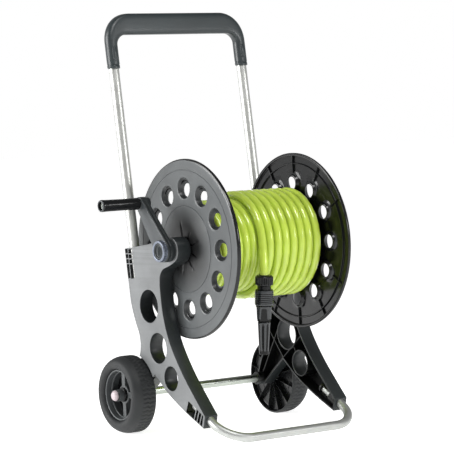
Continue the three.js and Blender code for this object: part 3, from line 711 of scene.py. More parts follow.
def petals(angle, r, s):
    """Four scoops round the nozzle's stem."""
    if not (PETALS[0] < s < PETALS[1] and r > 12):
        return r
    scoop = max(0.0, (cos(4 * (angle - 0.62)) + 0.35) / 1.35) ** 0.5
    return r - 3.2 * scoop * min(1, (s - PETALS[0]) / 5) - (2.2 if s > 92 and scoop == 0 else 0)


def flutes(angle, r, s):
    """Eight flutes along the nozzle's barrel."""
    if not (FLUTES[0] < s < FLUTES[1] and r > 8):
        return r
    fade = min(1, (s - FLUTES[0]) / 6, (FLUTES[1] - s) / 10)
    return r - 2.4 * fade * max(0.0, cos(8 * angle)) ** 0.7


def crest(centre, normal):
    """Whether a face lies on the barrel's outside, between two flutes, where it takes the lighter
    painted highlight.
    """
    s, r = off_connector(centre)
    return r > BARREL_R - 0.3 - BARREL_TAPER * max(0, s - FLUTES[0]) and s < FLUTES[1] - 2


def make_connector():
    nut = softened([(0, 0), (9.2, 0), (10.2, 1.2), (15, 0.6), (19, 4), (19, 7)], 1.4, False)
    nut += [(19, 7 + i) for i in range(1, 11)]
    nut += softened([(19, 19), (18.6, 21), (15, 22), (0, 22)], 0.8, False)
    body = softened([(0, 22.3), (14.2, 22.3), (14.5, 29.4), (16, 29.6), (16, 64), (8.5, 64), (8.5, 48),
                     (0, 48)], 0.6, False)
    collar = [(16.4, 30.6), (17.6, 30.7), (19.2, 32)] + fine_steps(19.8, 36, 60, 4, 1.7)
    collar += softened([(19.8, 59.4), (19.8, 61.5), (19, 63.4), (16.4, 63.5)], 0.5, False)
    stem = softened([(0, 48.3), (8, 48.3), (8, 64.4), (16.5, 64.6), (18, 66), (18, 70)], 0.5, False)
    stem += [(18 - 0.058 * i, 70 + i) for i in range(1, 26)]
    stem += softened([(16.4, 96.5), (13, 98), (7, 98.2), (7, 140), (0, 144)], 0.5, False)
    barrel = softened([(7.3, 98.8), (13, 98.8), (BARREL_R, 101)], 0.6, False)
    barrel += [(BARREL_R - BARREL_TAPER * i, FLUTES[0] + i) for i in range(0, 60, 2)]
    barrel += softened([(10.2, 163.5), (10, 166), (9, 168), (5.6, 167.8), (5, 164), (4, 150),
                        (7.3, 144.5)], 0.6, False)
    # Faces inside a radius are near-black as painted shade; raised ridges and crests are plain black, or
    # lighter as painted highlight.
    parts = {
        "hose_nut": (on_connector(nut, 288, wave=ridges(24, 1.7, 4, 20)),
                     (CONNECTOR_SHADE, raised(18.2, BLACK)), "reel"),
        "connector_body": (on_connector(body), BLACK, "reel"),
        "connector_collar": (on_connector(collar, 120, True, seam),
                             (CONNECTOR_SHADE, raised(19.1, RIDGE_HIGHLIGHT)), "collar"),
        "nozzle_stem": (on_connector(stem, 288, wave=petals),
                        (CONNECTOR_SHADE, raised(15.9, RIDGE_HIGHLIGHT)), "reel"),
        "nozzle_barrel": (on_connector(barrel, 288, True, flutes),
                          (CONNECTOR_SHADE, (RIDGE_HIGHLIGHT, crest)), "barrel"),
    }
    return [part(node, *made, "black_plastic") for node, made in parts.items()]


# ---- tubes and handle ----

def make_tubes():
    low, high = handle_at(FRAME_MID, HANDLE_LOW), handle_at(FRAME_MID, HANDLE_HIGH)
    upright = tube([low.lerp(high, k / 6) for k in range(7)], HANDLE_R, 48, 1.2)
    pair("handle_tube", upright, UPRIGHT_TUBE, "cart", "aluminium")
    front = FOOT_STRAIGHT + FOOT_BEND
    left, right = [[foot_at(x, -FOOT_INSIDE), foot_at(x, FOOT_STRAIGHT), foot_at(x, front),
                    foot_at(x - copysign(FOOT_BEND, x), front)] for x in (-FRAME_MID, FRAME_MID)]

    def bend(a, corner, b, steps=24):
        for k in range(steps + 1):
            t = pi / 2 * k / steps
            yield corner + (a - corner) * (1 - sin(t)) + (b - corner) * (1 - cos(t))

    path = [left[0].lerp(left[1], k / 5) for k in range(5)] + list(bend(*left[1:]))
    path += [left[3].lerp(right[3], k / 8) for k in range(1, 8)] + list(bend(*right[1:]))[::-1]
    path += [right[1].lerp(right[0], k / 5) for k in range(1, 6)]
    part("foot_tube", tube(path, FOOT_R, 40, 1.5), LYING_TUBE, "cart", "aluminium")
    axle = sleeve(AXLE_R - 1.5, AXLE_R, -AXLE_END, AXLE_END, 0.6)
    part("axle_tube", on_axle(axle), CHROME, "cart", "chrome")


def grip_stations():
    """The handle bar's sections from one sleeve to the other: outer point, inner point, how far the
    section is shrunk, and the power of its superellipse."""
    outer, inner = FRAME_MID + GRIP_LEG / 2, FRAME_MID - GRIP_LEG / 2
    under = GRIP_TOP - GRIP_BAR
    half = [(Vector((outer, GRIP_LOW + z)), Vector((inner, GRIP_LOW + z)), shrink, 2.3)
            for z, shrink in ((0, 1.4), (0.6, 0.5), (2, 0), (7, 0), (7.5, 0.7), (8.7, 0.7), (9.2, 0),
                              (22, 0), (36, 0), (48, 0))]
    corner_steps, bar_steps = 18, 4
    for k in range(corner_steps + 1):
        t = k / corner_steps
        way = unit(pi / 2 * t)
        out = Vector((outer - GRIP_CORNER, GRIP_TOP - GRIP_CORNER)) + way * GRIP_CORNER
        into = Vector((inner - GRIP_INSIDE, under - GRIP_INSIDE)) + way * GRIP_INSIDE
        half.append((out, into, 0, 2.3 + 2.2 * t * t * (3 - 2 * t)))
    for k in range(1, bar_steps + 1):
        t = k / bar_steps
        half.append((Vector(((outer - GRIP_CORNER) * (1 - t), GRIP_TOP)),
                     Vector(((inner - GRIP_INSIDE) * (1 - t), under)), 0, 4.5))
    return half + [(Vector((-out.x, out.y)), Vector((-into.x, into.y)), shrink, power)
                   for out, into, shrink, power in reversed(half[:-1])]


def grip_section(out, into, shrink, power):
    middle, reach = (out + into) / 2, (out - into) / 2
    ring = []
    for a in around(56):
        c, s = cos(a), sin(a)
        u = copysign(abs(c) ** (2 / power), c) * (reach.length - shrink)
        w = copysign(abs(s) ** (2 / power), s) * (GRIP_DEPTH / 2 - shrink)
        p = middle + reach.normalized() * u
        ring.append((p.x, HANDLE_Y + HANDLE_LEAN * (p.y - HANDLE_Z) - w, p.y))
    return ring


def sleeve_tab(x):
    """The long raised tab on the front of a sleeve."""
    spot = handle_at(x, GRIP_LOW + 32)
    front = Vector((0, -1, HANDLE_LEAN)).normalized()
    rise = Vector((0, HANDLE_LEAN, 1)).normalized()
    layers = []
    for depth, shrink in ((-3, -1.6), (0.25, -1.6), (0.3, -0.4), (1.2, -0.1), (1.8, 0.6)):
        r = 5 - shrink
        loop = [r * Vector((cos(t), 0, 0)) + rise * (r * sin(t) + copysign(9, sin(t)))
                for t in (2 * pi * (k + 0.5) / 32 for k in range(32))]
        layers.append([tuple(spot + front * (GRIP_DEPTH / 2 + depth) + p) for p in loop])
    return loft(layers)


def make_grip():
    """The handle bar: its section closes in round each corner to a tube sleeve."""
    bar_shell = loft([grip_section(*station) for station in grip_stations()])
    part("handle_grip", merged(bar_shell, sleeve_tab(-FRAME_MID), sleeve_tab(FRAME_MID)), GRIP_GREY,
         "cart", "grip_plastic", sharp=50)


def screw_shell(start, way, head=4.2, shank=1.9, length=12):
    """A pan-head screw, with a black cross standing as painted shade for its cross recess."""
    profile = softened([(0, 0.9), (1.4, 0.7), (head - 0.6, 0.35), (head, 1.6), (head, 2.6), (shank, 2.8),
                        (shank, length - 2), (0, length)], 0.4, False)
    body = lathe(profile, 40, start, way, False)
    way = Vector(way).normalized()
    side = way.orthogonal().normalized()
    other = way.cross(side)
    bars = []
    for a, b in ((side, other), (other, side)):
        corners = [a * i * 0.58 * head + b * j * 0.5
                   for i, j in ((-1, -1), (1, -1), (1, 1), (-1, 1))]
        bars.append(loft([[Vector(start) + c + way * d for c in corners] for d in (0.32, 1.2)]))
    return body, merged(*bars)


def screws(name, places, body, nodes):
    """Screw heads, as one piece for a group of fixed screws, and their cross recesses as black crosses
    of painted shade.
    """
    shells = [screw_shell(*place) for place in places]
    heads, recess_shades = zip(*shells)
    piece(name, merged(*heads), CHROME, body, nodes, "chrome")
    # Black crosses as painted shade for the cross recesses.
    piece(f"{name}_recess", merged(*recess_shades), SEAL_BLACK, body, (), "black_plastic")


# ---- side frames ----

def frame_outline():
    outline = [(182, 397)]

    def curve(*points):
        outline.extend(through([outline[-1], *points]))

    curve((178.6, 368), (172.2, 320), (166, 278), (152.5, 241), (139.5, 214), (136, 194))
    curve((139.5, 174), (152, 153), (170, 124), (184.6, 88))
    outline += arc(AXLE_Y, AXLE_Z, AXLE_BOSS, 0.3, -2.19, 16) + [(84, 130)]
    curve((55.5, 107.5), (23.8, 85.5), (-34, 55.5), (-92.5, 29.5))
    outline.append((-99.4, 55.5))
    curve((-70, 86), (-22, 138.5), (19, 197), (40.5, 253), (48.2, 307), (48.6, 331))
    outline += soft_corner(outline[-1], (47.5, 352.5), (24.4, 359.2))
    outline += soft_corner(outline[-1], (7, 363), (-9, REEL_Z - 25.4))
    outline += arc(0, REEL_Z, HEAD_R, -1.91, -1.5 * pi, 28)[1:]
    return outline + [(87.4, 408.2), (153, 400.2)]


def soft_corner(a, corner, b, steps=8):
    a, corner, b = Vector(a), Vector(corner), Vector(b)
    return [tuple(a * (1 - t) ** 2 + corner * (2 * t * (1 - t)) + b * t ** 2)
            for t in (k / steps for k in range(1, steps + 1))]


FRAME_RIBS = [((14, 187), (160, 77)), ((98, 200), (166, 94)), ((133, 193), (82, 131)),
              ((20, 378), (70, 303)), ((122, 300), (150, 318)), ((82, 243), (76, 217)),
              ((44, 163), (36, 146))]


def frame_windows():
    """Barred openings in the outer face and a slot beside the foot tube."""
    def along(a, b, z):
        return a[0] + (b[0] - a[0]) * (z - a[1]) / (b[1] - a[1])

    rear, front = ((172, 332), (180, 395)), ((145.5, 335), (152.5, 398))
    bar_line = ((161.3, 333), (168.3, 393))
    cells = []
    for low, high in ((387.8, 397), (377, 385.6), (366.2, 374.8), (333.5, 364)):
        for near, far, n, f in ((bar_line, rear, 1.2, 0), (front, bar_line, 0, -1.2)):
            cells.append([(along(*near, low) + n, low), (along(*far, low) + f, low - 1),
                          (along(*far, high) + f, high - 1.5), (along(*near, high) + n, high)])

    def upper(y):
        return 83 + (y + 42) * 0.505

    def lower(y):
        return 59 + (y + 31) * 0.43

    lean, tip = 10, -95
    for y0, y1, more in ((-31, -59, 1), (-61.6, -68.4, 0), (-71, -78.4, 0), (-81, -88.5, 0)):
        left, right = y0 - lean - more, max(y1 - lean, tip)
        cells.append([(y0, lower(y0)), (left, upper(left)), (right, upper(right)), (y1, lower(y1))])
    slabs = [slab(cell, [], 171, FRAME_OUTER + 3) for cell in cells]
    across = FOOT_SLOPE + pi / 2
    slot = []
    for distance, side in ((-32, -8), (-32, 8), (-62, 8), (-62, -8)):
        spot = foot_at(0, distance)
        slot.append((spot.y + side * cos(across), spot.z + side * sin(across)))
    return slabs + [slab(slot, [], FRAME_INNER - 2, FRAME_MID - 6)]


def across_frame(y, z, r, x0, x1, sides=64):
    return bar((x0, y, z), (x1, y, z), r, sides)


def frame_hollow(outline):
    """What is taken out of a side frame from its inner side: a pocket less the walls and ribs in it."""
    inner, skin = FRAME_INNER - 2, FRAME_OUTER - 3
    pocket = slab(moved_in(outline, 3.5), [circle(y, z, r + 3) for y, z, r in FRAME_HOLES], inner, skin)
    walls = [across_frame(0, REEL_Z, HEAD_R - 0.5, inner, skin + 1),
             across_frame(AXLE_Y, AXLE_Z, AXLE_BOSS - 1, inner, skin + 1),
             across_frame(AXLE_Y, AXLE_Z, RECESS_R + 3.5, RECESS_FLOOR - 3, skin + 1),
             bar(handle_at(FRAME_MID, HANDLE_LOW - 4), handle_at(FRAME_MID, 410), 14.6, 48),
             bar(foot_at(FRAME_MID, 8), foot_at(FRAME_MID, -FOOT_INSIDE - 5), 13, 48)]
    walls += [plank(a, b, FRAME_INNER + 1, skin + 1) for a, b in FRAME_RIBS]
    return carved("hollow", pocket, walls)


def side_frame():
    outline = frame_outline()
    if area(outline) < 0:
        outline.reverse()
    holes = [circle(y, z, r) for y, z, r in FRAME_HOLES]
    block = slab(outline, holes, FRAME_INNER, FRAME_OUTER, 1.0, 1.6)
    near, far = FRAME_INNER - 6, FRAME_OUTER + 9
    cutters = [frame_hollow(outline), across_frame(AXLE_Y, AXLE_Z, RECESS_R, RECESS_FLOOR, far, 96),
               across_frame(0, REEL_Z, REEL_BORE_R, near, far),
               across_frame(AXLE_Y, AXLE_Z, AXLE_BORE_R, near, far),
               bar(handle_at(FRAME_MID, HANDLE_LOW - 0.5), handle_at(FRAME_MID, 450),
                   HANDLE_R + 0.3, 48),
               bar(foot_at(FRAME_MID, 25), foot_at(FRAME_MID, -FOOT_INSIDE - 1), FOOT_R + 0.3, 48)]
    shell = carved("side_frame", block, cutters + frame_windows())
    axle_guide = sleeve(AXLE_BORE_R, 14, FRAME_INNER - 14, FRAME_INNER + 8, 0.8)
    spacer = sleeve(AXLE_BORE_R, 14, RECESS_FLOOR - 3, 181.7, 0.5)
    head_lip = softened([(REEL_BORE_R, 151.2), (22, 151.2), (23, 154), (REEL_BORE_R, 154)], 0.5)
    screw_ring = softened([(4.6, -0.4), (6.6, -0.4), (7.2, 1.6), (4.6, 1.6)], 0.4)
    return merged(shell, on_axle(axle_guide), on_axle(spacer), lathe(head_lip),
                  lathe(screw_ring, 40, handle_at(FRAME_INNER, HANDLE_SCREW_Z)))


def outer_face(centre, normal):
    return abs(centre.x) > FRAME_OUTER - 2.5 and abs(normal.x) > 0.6 and normal.x * centre.x > 0


def inside_face(centre, normal):
    """Whether a face belongs to the hollow inside of a side frame, which is painted near-black as shade.
    """
    spot = Vector((centre.y, centre.z))
    at_hole = any(abs((spot - Vector((y, z))).length - r) < 1.5 for y, z, r in FRAME_HOLES)
    deep = FRAME_RIM.find((spot.x, spot.y, 0))[2] > 2.6
    return deep and not at_hole and abs(centre.x) < FRAME_OUTER - 2


def dense(outline, pitch=1.5):
    """Points close together along a closed outline."""
    for i, point in enumerate(outline):
        a, b = Vector(outline[i - 1]), Vector(point)
        count = max(1, ceil((b - a).length / pitch))
        yield from (a.lerp(b, k / count) for k in range(count))


def rim_tree():
    points = list(dense(frame_outline()))
    tree = KDTree(len(points))
    for i, point in enumerate(points):
        tree.insert((point.x, point.y, 0), i)
    tree.balance()
    return tree


FRAME_RIM = rim_tree()


def make_frames():
    # Outer faces take the lighter grey as painted light, the other faces the dark grey as painted shade.
    looks = (SHADED_EDGE, (FRAME_LIT_FACE, outer_face), (FRAME_INSIDE_SHADE, inside_face))
    pair("side_frame", side_frame(), looks, "cart", "frame_plastic", sharp=32)
    for sign, side in ((-1, "left"), (1, "right")):
        places = [(handle_at(sign * HANDLE_SCREW_X, HANDLE_SCREW_Z), X_AXIS * sign)]
        screws(f"{side}_frame_screw", places, "cart", [f"{side}_handle_screw"])


# ---- wheels ----

def spoke_face(centre, normal):
    """Whether a face belongs to the wheel's outer side, apart from the end of its hub."""
    return abs(centre.x) > 196 and not (abs(centre.x) > 213 and off_axle(centre) < 20)


def tyre_back(centre, normal):
    """Whether a face belongs to the hollow back of the tyre."""
    return abs(centre.x) < 191.5 and off_axle(centre) < 79


def tread_blocks(angle, r, s):
    """Cross grooves in the tread, skewed to and fro across it."""
    if r < 80 or not 184 < s < 216:
        return r
    skew = 0.02 * sin((s - 188) * 0.5)
    in_groove = (angle + skew) * 54 / (2 * pi) % 1 < 0.34
    return r - (1.7 if in_groove else 0.0) * max(0, min(1, (s - 184) / 3, (216 - s) / 6))


def make_tyres():
    bead, out = WHEEL_SEAT + 0.3, WHEEL_OUT
    tread = softened([(bead, WHEEL_BACK), (77, WHEEL_BACK), (78.5, 181), (80, 180.2), (82.6, 182.5)],
                     0.8, False)
    tread += [(83.5, 186 + 2.2 * i) for i in range(10)]
    tread += softened([(83.4, 208.5), (82.2, 216), (79.2, 224), (74.2, 230.8), (68, out),
                       (61, out - 1.4), (57, out - 5), (bead, out - 10)], 4.5, False, 5)
    pair("tyre", on_axle(tread, 324, tread_blocks), (TYRE, (BLACK, tyre_back)), "wheel", "tyre",
         sharp=50)


def make_hubs():
    seat, disc_r, bore = WHEEL_SEAT, WHEEL_SEAT - 2, AXLE_BORE_R
    rim = softened([(seat - 3.5, 190), (seat, 190), (seat, 224), (seat - 1, 225), (seat - 3.5, 224.4)],
                   0.6)
    hub = sleeve(bore, 13, 184, 231.3, 0.9)
    ring = softened([(12, 211), (16, 211), (15.4, 217), (14.6, 218), (12, 218)], 0.8)
    at = (AXLE_Y, AXLE_Z)
    centre = Vector(at)
    gaps, planks = [], []
    half_turn = pi / SPOKES
    wide, narrow = half_turn - SPOKE_HALF / GAP_OUTER_R, half_turn - SPOKE_HALF / GAP_INNER_R
    for i in range(SPOKES):
        middle = (i + 0.5) * pi / 2
        gaps.append(arc(*at, GAP_OUTER_R, middle - wide, middle + wide, 20)
                    + arc(*at, GAP_INNER_R, middle + narrow, middle - narrow, 6))
        a = i * pi / 2
        way, side = unit(a), Vector((-sin(a), cos(a)))
        for edge in (-4.2, 4.2):
            planks.append(plank(centre + way * 14 + side * edge, centre + way * 53 + side * edge,
                                WHEEL_BACK + 2, WHEEL_DISC + 1, 2.2))
    for i in range(WHEEL_RIBS):
        way = unit((i + 0.5) * pi / 6)
        planks.append(plank(centre + way * 12, centre + way * 77.5, 180.6, WHEEL_BACK + 1, 0.8))
    disc = slab(circle(*at, disc_r, 120), gaps, WHEEL_DISC, WHEEL_DISC + 5, 0.5, 1.0)
    back = slab(circle(*at, disc_r, 120), [circle(*at, 11, 48)], WHEEL_BACK, WHEEL_BACK + 3)
    pair("wheel_hub", merged(on_axle(rim, 120), on_axle(hub), on_axle(ring), disc, back, *planks),
         (BLACK, (SPOKE_GREY, spoke_face)), "wheel", "wheel_plastic")


def make_wheels():
    make_tyres()
    make_hubs()
    end = AXLE_END
    washer = sleeve(AXLE_R + 0.35, 13, 182.1, 183.7, 0.4)
    pair("wheel_washer", on_axle(washer), BLACK, "cart", "black_plastic")
    cap = softened([(0, end + 7), (5, end + 6.6), (9, end + 4.8), (11.3, end + 1), (11.3, end - 2.3),
                    (9.3, end - 2.3), (9.3, end + 0.3), (0, end + 0.3)], 1.6, False, 5)
    pair("axle_cap", on_axle(cap, 64, closed=False), OFF_WHITE, "cart", "cap_plastic")


# ---- reel ----

def dome(r):
    """How far out the flange's surface stands between its hub and the groove round its middle."""
    t = min(max((DISH_R - r) / (DISH_R - REEL_HUB_R), 0), 1)
    return FLANGE_FACE + (REEL_HUB_FACE - FLANGE_FACE) * sin(pi / 2 * t)


def flange_panel(hole_angle):
    """A twelfth of the flange's flat part, with its funnel outside and its conical boss inside."""
    step, half = 10, pi / FLANGE_HOLES
    depths = [PANEL_IN + (PANEL_OUT - PANEL_IN) * k / 8 for k in range(8)]
    sweep = [-half + 2 * half * k / step for k in range(step)]
    edge = [(r, -half) for r in depths] + [(PANEL_OUT, a) for a in sweep]
    edge += [(PANEL_OUT + PANEL_IN - r, half) for r in depths] + [(PANEL_IN, -a) for a in sweep]
    edge = [Vector((r * cos(a), r * sin(a))) for r, a in edge]
    ways = [(p - Vector((126, 0))).normalized() for p in edge]
    face, back = FLANGE_FACE, FLANGE_FACE - FLANGE_WALL

    def ring(at, r, x):
        return [(Vector((at, 0)) + way * r, x) for way in ways]

    def blend(a, b, t):
        return [(p.lerp(q, t), x + (w - x) * t) for (p, x), (q, w) in zip(a, b)]

    outer_edge, inner_edge = [(p, face) for p in edge], [(p, back) for p in edge]
    mouth, foot = ring(MOUTH_AT, MOUTH_R + 0.8, face), ring(126.5, 25, back)
    rings = [outer_edge, blend(outer_edge, mouth, 0.4), blend(outer_edge, mouth, 0.75), mouth]
    steps = 9
    for k in range(1, steps + 1):
        t = k / steps
        depth = FUNNEL_DEPTH * (t * t * (3 - 2 * t)) ** 0.9
        rings.append(ring(MOUTH_AT + (THROAT_AT - MOUTH_AT) * t,
                          MOUTH_R + (THROAT_R - MOUTH_R) * t ** 1.1, face - depth))
    lip = face - FUNNEL_DEPTH - 0.9
    rings += [ring(THROAT_AT, THROAT_R + 0.3, lip), ring(THROAT_AT, THROAT_R + 2.2, lip),
              ring(THROAT_AT + 0.5, THROAT_R + 3, lip + 0.5), ring(125, 20, back - 2.4),
              ring(126, 23, back - 0.6), foot, blend(foot, inner_edge, 0.4), inner_edge]
    turn = Matrix.Rotation(hole_angle, 2)
    turned = [[(turn @ p, x) for p, x in points] for points in rings]
    return loft([[(x, p.x, REEL_Z + p.y) for p, x in points] for points in turned], capped=False)


def gathered(x, y, z):
    """A point of the flange's middle, drawn in where it lies in one of the gathers round the hub."""
    r, a = hypot(y, z - REEL_Z), atan2(z - REEL_Z, y)
    if r > 20 and x > dome(r) - 1.5:
        reach = 52 + 10 * sin(5 * a + 1)
        fade = max(0.0, min(1.0, (r - 20) / 4, (reach - r) / (reach - 26)))
        x -= 4.2 * fade * max(0.0, cos(9 * a + 0.5 * sin(2 * a))) ** 10
    return x, y, z


def flange_middle():
    """The domed middle of the flange, with gathers running out from the hub."""
    face, hub, wall, bore = FLANGE_FACE, REEL_HUB_R, FLANGE_WALL, REEL_BORE_R
    bowl = [hub + (DISH_R - hub) * k / 30 for k in range(1, 30)]
    profile = [(PANEL_IN, face), (92, face - 0.8), (90.8, face - 0.8), (90.4, dome(90.4))]
    profile += [(r, dome(r)) for r in reversed(bowl) if r < 89.5]
    profile += [(hub, dome(hub)), (22, REEL_HUB_FACE), (18, REEL_HUB_FACE), (bore, REEL_HUB_FACE - 0.8),
                (bore, REEL_BOSS), (hub + 8, REEL_BOSS), (hub + 8, dome(hub + 8) - wall)]
    profile += [(r, dome(r) - wall) for r in bowl if r > hub + 9] + [(PANEL_IN, face - wall)]
    vertices, faces = lathe(profile, 3 * FLANGE_SIDES)
    screw_holes = [bar((147.1, y, z), (152, y, z), 3.7) for y, z in hub_screw_places()]
    return carved("flange_middle", ([gathered(*v) for v in vertices], faces), screw_holes)


def hub_screw_places():
    angles = [(i + 0.25) / 3 * 2 * pi for i in range(3)]
    return [(HUB_SCREW_RING * cos(a), REEL_Z + HUB_SCREW_RING * sin(a)) for a in angles]


def flange():
    face, back, edge = FLANGE_FACE, FLANGE_FACE - FLANGE_WALL, FLANGE_FACE - FLANGE_RIM
    band = [(PANEL_OUT, face), (165.6, face), (166.3, face - 0.9), (167.7, face - 0.9), (168.4, face),
            (176, face), (184, face), (187, face - 0.3), (189, face - 1.3), (FLANGE_R, face - 3.2),
            (FLANGE_R, edge + 1.5), (189.5, edge + 0.4), (188.4, edge), (185.4, edge),
            (184.4, edge + 0.4), (184, edge + 1.4), (184, back - 1), (183, back), (176, back),
            (169, back), (168.4, back - 0.8), (168, back - 3.2), (167.4, back - 3.7),
            (166.6, back - 3.7), (166, back - 3.2), (165.6, back - 0.8), (165, back), (PANEL_OUT, back)]
    turns = around(FLANGE_HOLES)
    centre = Vector((0, REEL_Z))
    ribs = [plank(centre + unit(a) * 147, centre + unit(a) * 185, edge + 1.2, back + 0.5, 1.6)
            for a in turns]
    return merged(lathe(band, FLANGE_SIDES, closed=False), flange_middle(),
                  *[flange_panel(a) for a in turns], *ribs)


def in_funnel(centre, normal):
    """Whether a face belongs to the sloping wall of a funnel in the flange's outer side, painted darker
    there as shade.
    """
    depth = FLANGE_FACE - abs(centre.x)
    return (94 < off_reel(centre) < 158 and 0.7 < depth < FUNNEL_DEPTH
            and normal.x * copysign(1, centre.x) > 0.02)


def facing_out(centre, normal):
    return off_reel(centre) <= FLANGE_R - 4.5 and normal.x * copysign(1, centre.x) > 0.3


def make_reel():
    looks = (GLOSS_BLACK, (FUNNEL_SHADE, in_funnel), (FLANGE_SATIN, facing_out))
    pair("flange", flange(), looks, "reel", "reel_plastic", sharp=30)
    for sign, side in ((-1, "left"), (1, "right")):
        places = [((sign * HUB_SCREW_X, y, z), X_AXIS * -sign, 3.4, 1.7, 20.8)
                  for y, z in hub_screw_places()]
        screws(f"{side}_hub_screws", places, "reel", [f"{side}_hub_screw_{i}" for i in (1, 2, 3)])
    journal = softened([(0, -203), (SPINDLE_R, -203), (SPINDLE_R, -100), (0, -100)], 1, False)
    part("crank_spindle", lathe(journal, closed=False), BLACK, "reel", "black_plastic")
    water = softened([(5, 84), (SPINDLE_R, 84), (SPINDLE_R, 192), (13.4, 192), (13.4, 195.4),
                      (SPINDLE_R, 195.4), (SPINDLE_R, 200), (5, 200)], 0.6)
    spout = lathe(sleeve(4, 6, 8, 58, 0.4), 40, (97, 0, REEL_Z), (0, 0, 1))
    part("water_spindle", merged(lathe(water), spout), BLACK, "reel", "black_plastic")


def make_inlet():
    bore = REEL_BORE_R
    cup = softened([(bore, 187), (19.6, 187), (20, 189), (20, 210), (18, 212), (0, 212), (0, 206),
                    (bore, 206)], 1.2, False) + [(bore, 187)]
    neck = softened([(5, 15), (9, 15), (9, 30), (12, 30.6), (12, 35), (9, 35.6), (9, 50), (7.6, 51),
                     (7.6, 52.4), (6.8, 53), (7.6, 54), (7.2, 57.5), (5, 58)], 0.5)
    shell = merged(lathe(cup, 72, closed=False, wave=ridges(30, 0.6, 190, 209)),
                   lathe(neck, 80, (199, 0, REEL_Z), (0, 0, -1), wave=ridges(20, 0.9, 30, 35.5)))
    part("inlet_swivel", shell, BLACK, "inlet", "black_plastic")


# ---- crank ----

def crank_outline(inward=0.0):
    length = hypot(CRANK_Y, CRANK_Z)
    heading = atan2(CRANK_Z, CRANK_Y)
    spread = acos((CRANK_HUB - CRANK_TIP_R) / length)
    loop = arc(0, REEL_Z, CRANK_HUB - inward, heading + spread, heading - spread + 2 * pi, 40)
    return loop + arc(CRANK_Y, REEL_Z + CRANK_Z, CRANK_TIP_R - inward, heading - spread,
                      heading + spread, 24)


def arm_face(centre, normal):
    return normal.x < -0.8 and centre.x < -CRANK_FACE + 1.5


def arm_hub(centre, normal):
    return centre.x > CRANK_NEAR - 2 and off_reel(centre) < CRANK_HUB


def grip_end(centre, normal):
    return centre.x < -305.6 and abs(normal.x) > 0.35


def teeth(angle, r, s):
    """Square teeth round the ring's outside."""
    if r < 22 or s < -214.6 or s > -208.2:
        return r
    return RING_OUT if (angle * RING_TEETH / (2 * pi)) % 1 < 0.5 else RING_NOTCH


def crank_arm():
    """Two leaves with a groove between them, leaning out towards the grip, with a hub and a boss."""
    face, back = -CRANK_FACE, CRANK_NEAR
    middle = (face + back) / 2
    vertices, faces = merged(slab(crank_outline(), [], face, middle - 0.5, 1.4, 0.7),
                             slab(crank_outline(), [], middle + 0.5, back, 0.7, 1.2),
                             slab(crank_outline(1.0), [], middle - 1.5, middle + 1.5))
    length2 = CRANK_Y ** 2 + CRANK_Z ** 2
    vertices = [(x - CRANK_LEAN * (y * CRANK_Y + (z - REEL_Z) * CRANK_Z) / length2, y, z)
                for x, y, z in vertices]
    hub = sleeve(REEL_BORE_R, 23.4, -204, -187.2, 1)
    boss = softened([(6.3, -213.6), (11, -213.6), (12.4, -212), (12.4, -190), (6.3, -190)], 0.8)
    return merged((vertices, faces), lathe(hub), lathe(boss, 64, CRANK_TIP))


def make_crank():
    # The arm's outward face is a lighter grey as painted light, its edges the dark grey as painted
    # shade.
    part("crank_arm", crank_arm(), (SHADED_EDGE, (ARM_GREY, arm_face), (BLACK, arm_hub)), "reel",
         "reel_plastic")
    ring = softened([(17, -206.4), (RING_OUT, -206.4), (RING_OUT, -208)], 0.4, False)
    ring += [(RING_OUT, -209 - i) for i in range(6)]
    ring += softened([(RING_OUT, -215.2), (21.4, -217), (18, -217), (17, -216)], 0.6, False)
    part("crank_ring", lathe(ring, 8 * RING_TEETH, wave=teeth), SILVER, "reel", "chrome", sharp=25)
    cap = softened([(0, -206.4), (16.7, -206.4), (16.7, -215.2), (15.4, -216), (13.4, -216),
                    (12.8, -213.2), (0, -212.6)], 0.7, False)
    bars = [slab([(y - 1.1, REEL_Z - h), (y + 1.1, REEL_Z - h), (y + 1.1, REEL_Z + h),
                  (y - 1.1, REEL_Z + h)], [], -214.2, -212, 0.5)
            for y, h in ((-5, 9.5), (0, 11), (5, 9.5))]
    part("crank_cap", merged(lathe(cap, 72, closed=False), *bars), GRIP_GREY, "reel", "grip_plastic")
    grip = softened([(6.3, -214), (11.2, -214), (12.9, -216.5), (12.6, -228), (12.3, -248),
                     (12.3, -270), (12.6, -294), (13, -304), (12.4, -307.6), (9.2, -308), (9, -299),
                     (6.3, -299)], 1.2)
    part("crank_grip", lathe(grip, 72, CRANK_TIP), (GLOSS_BLACK, (ARM_GREY, grip_end)),
         "crank_grip_body", "black_plastic")
    seat = (-302.9, *CRANK_TIP[1:])
    screws("crank_pin_screw_look", [(seat, X_AXIS, 7.6, 3, 6)], "reel", ["crank_pin_screw"])


# ---- CAD nodes that stay ----

def dress_nodes():
    """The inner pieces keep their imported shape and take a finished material."""
    looks = {"drum_core": BLACK, "drum_sleeve": BLACK, "outlet_elbow": BLACK, "seal_ring": SEAL_BLACK,
             "crank_pin": CHROME}
    for name, look in looks.items():
        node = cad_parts[name]
        node.data.materials.clear()
        node.data.materials.append(look)


# ---- stage ----

FLOOR_GLOW, KEY_POWER, TOP_POWER, FRONT_POWER = 0.77, 120, 46, 34
AIM = Vector((0, 0, 0.4))


def grey(level):
    return (level, level, level, 1)


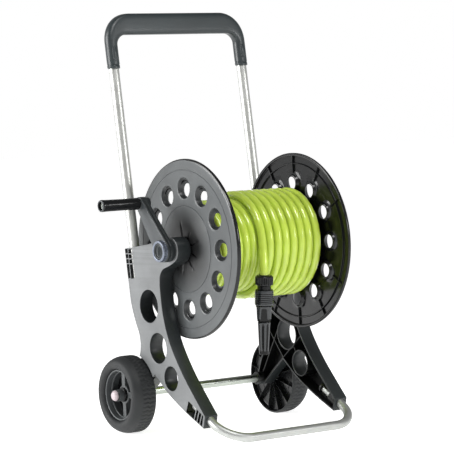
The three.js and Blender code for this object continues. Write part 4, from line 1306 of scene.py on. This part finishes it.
def make_stage():
    body = bmesh.new()
    bmesh.ops.create_circle(body, cap_ends=True, segments=96, radius=60)
    mesh = bpy.data.meshes.new("floor")
    body.to_mesh(mesh)
    body.free()
    floor = linked("floor", mesh)
    look = Look("floor_paper")
    look.set(Base_Color=look.mix(look.noise(0.8, 2), grey(0.86), grey(0.9)), Roughness=0.8,
             Emission_Color=grey(1), Emission_Strength=FLOOR_GLOW)
    mesh.materials.append(look.material)


def area_light(name, place, size, power):
    data = bpy.data.lights.new(name, "AREA")
    data.shape, data.size, data.energy = "DISK", size, power
    light = linked(name, data)
    light.location = place
    light.rotation_mode = "QUATERNION"
    light.rotation_quaternion = (AIM - Vector(place)).to_track_quat("-Z", "Y")


def make_light():
    """A world that is paler below than above and plain white to the camera, and three soft lights."""
    world = bpy.data.worlds.new("studio")
    world.use_nodes = True
    tree = world.node_tree
    split = tree.nodes.new("ShaderNodeSeparateXYZ")
    ramp = tree.nodes.new("ShaderNodeValToRGB")
    choose = tree.nodes.new("ShaderNodeMix")
    choose.data_type = "RGBA"
    choose.inputs[7].default_value = grey(1)
    for element, position, level in zip(ramp.color_ramp.elements, (0.0, 0.7), (0.7, 0.18)):
        element.position, element.color = position, grey(level)
    for source, socket in (
            (tree.nodes.new("ShaderNodeTexCoord").outputs["Generated"], split.inputs[0]),
            (split.outputs["Z"], ramp.inputs[0]),
            (tree.nodes.new("ShaderNodeLightPath").outputs["Is Camera Ray"], choose.inputs[0]),
            (ramp.outputs[0], choose.inputs[6]),
            (choose.outputs[2], tree.nodes["Background"].inputs["Color"])):
        tree.links.new(source, socket)
    bpy.context.scene.world = world
    area_light("key", (-3.0, 1.7, 1.6), 2.2, KEY_POWER)
    area_light("top", (-0.4, -1.6, 3.0), 1.2, TOP_POWER)
    area_light("front", (1.6, -3.6, 1.4), 1.0, FRONT_POWER)
    bpy.context.scene.view_settings.view_transform = "Standard"


# ---- the cart ----

make_camera()
hose, route = make_hose()
on_hose = make_connector()
make_tubes()
make_grip()
make_frames()
make_wheels()
make_reel()
make_inlet()
make_crank()
dress_nodes()
make_stage()
make_light()
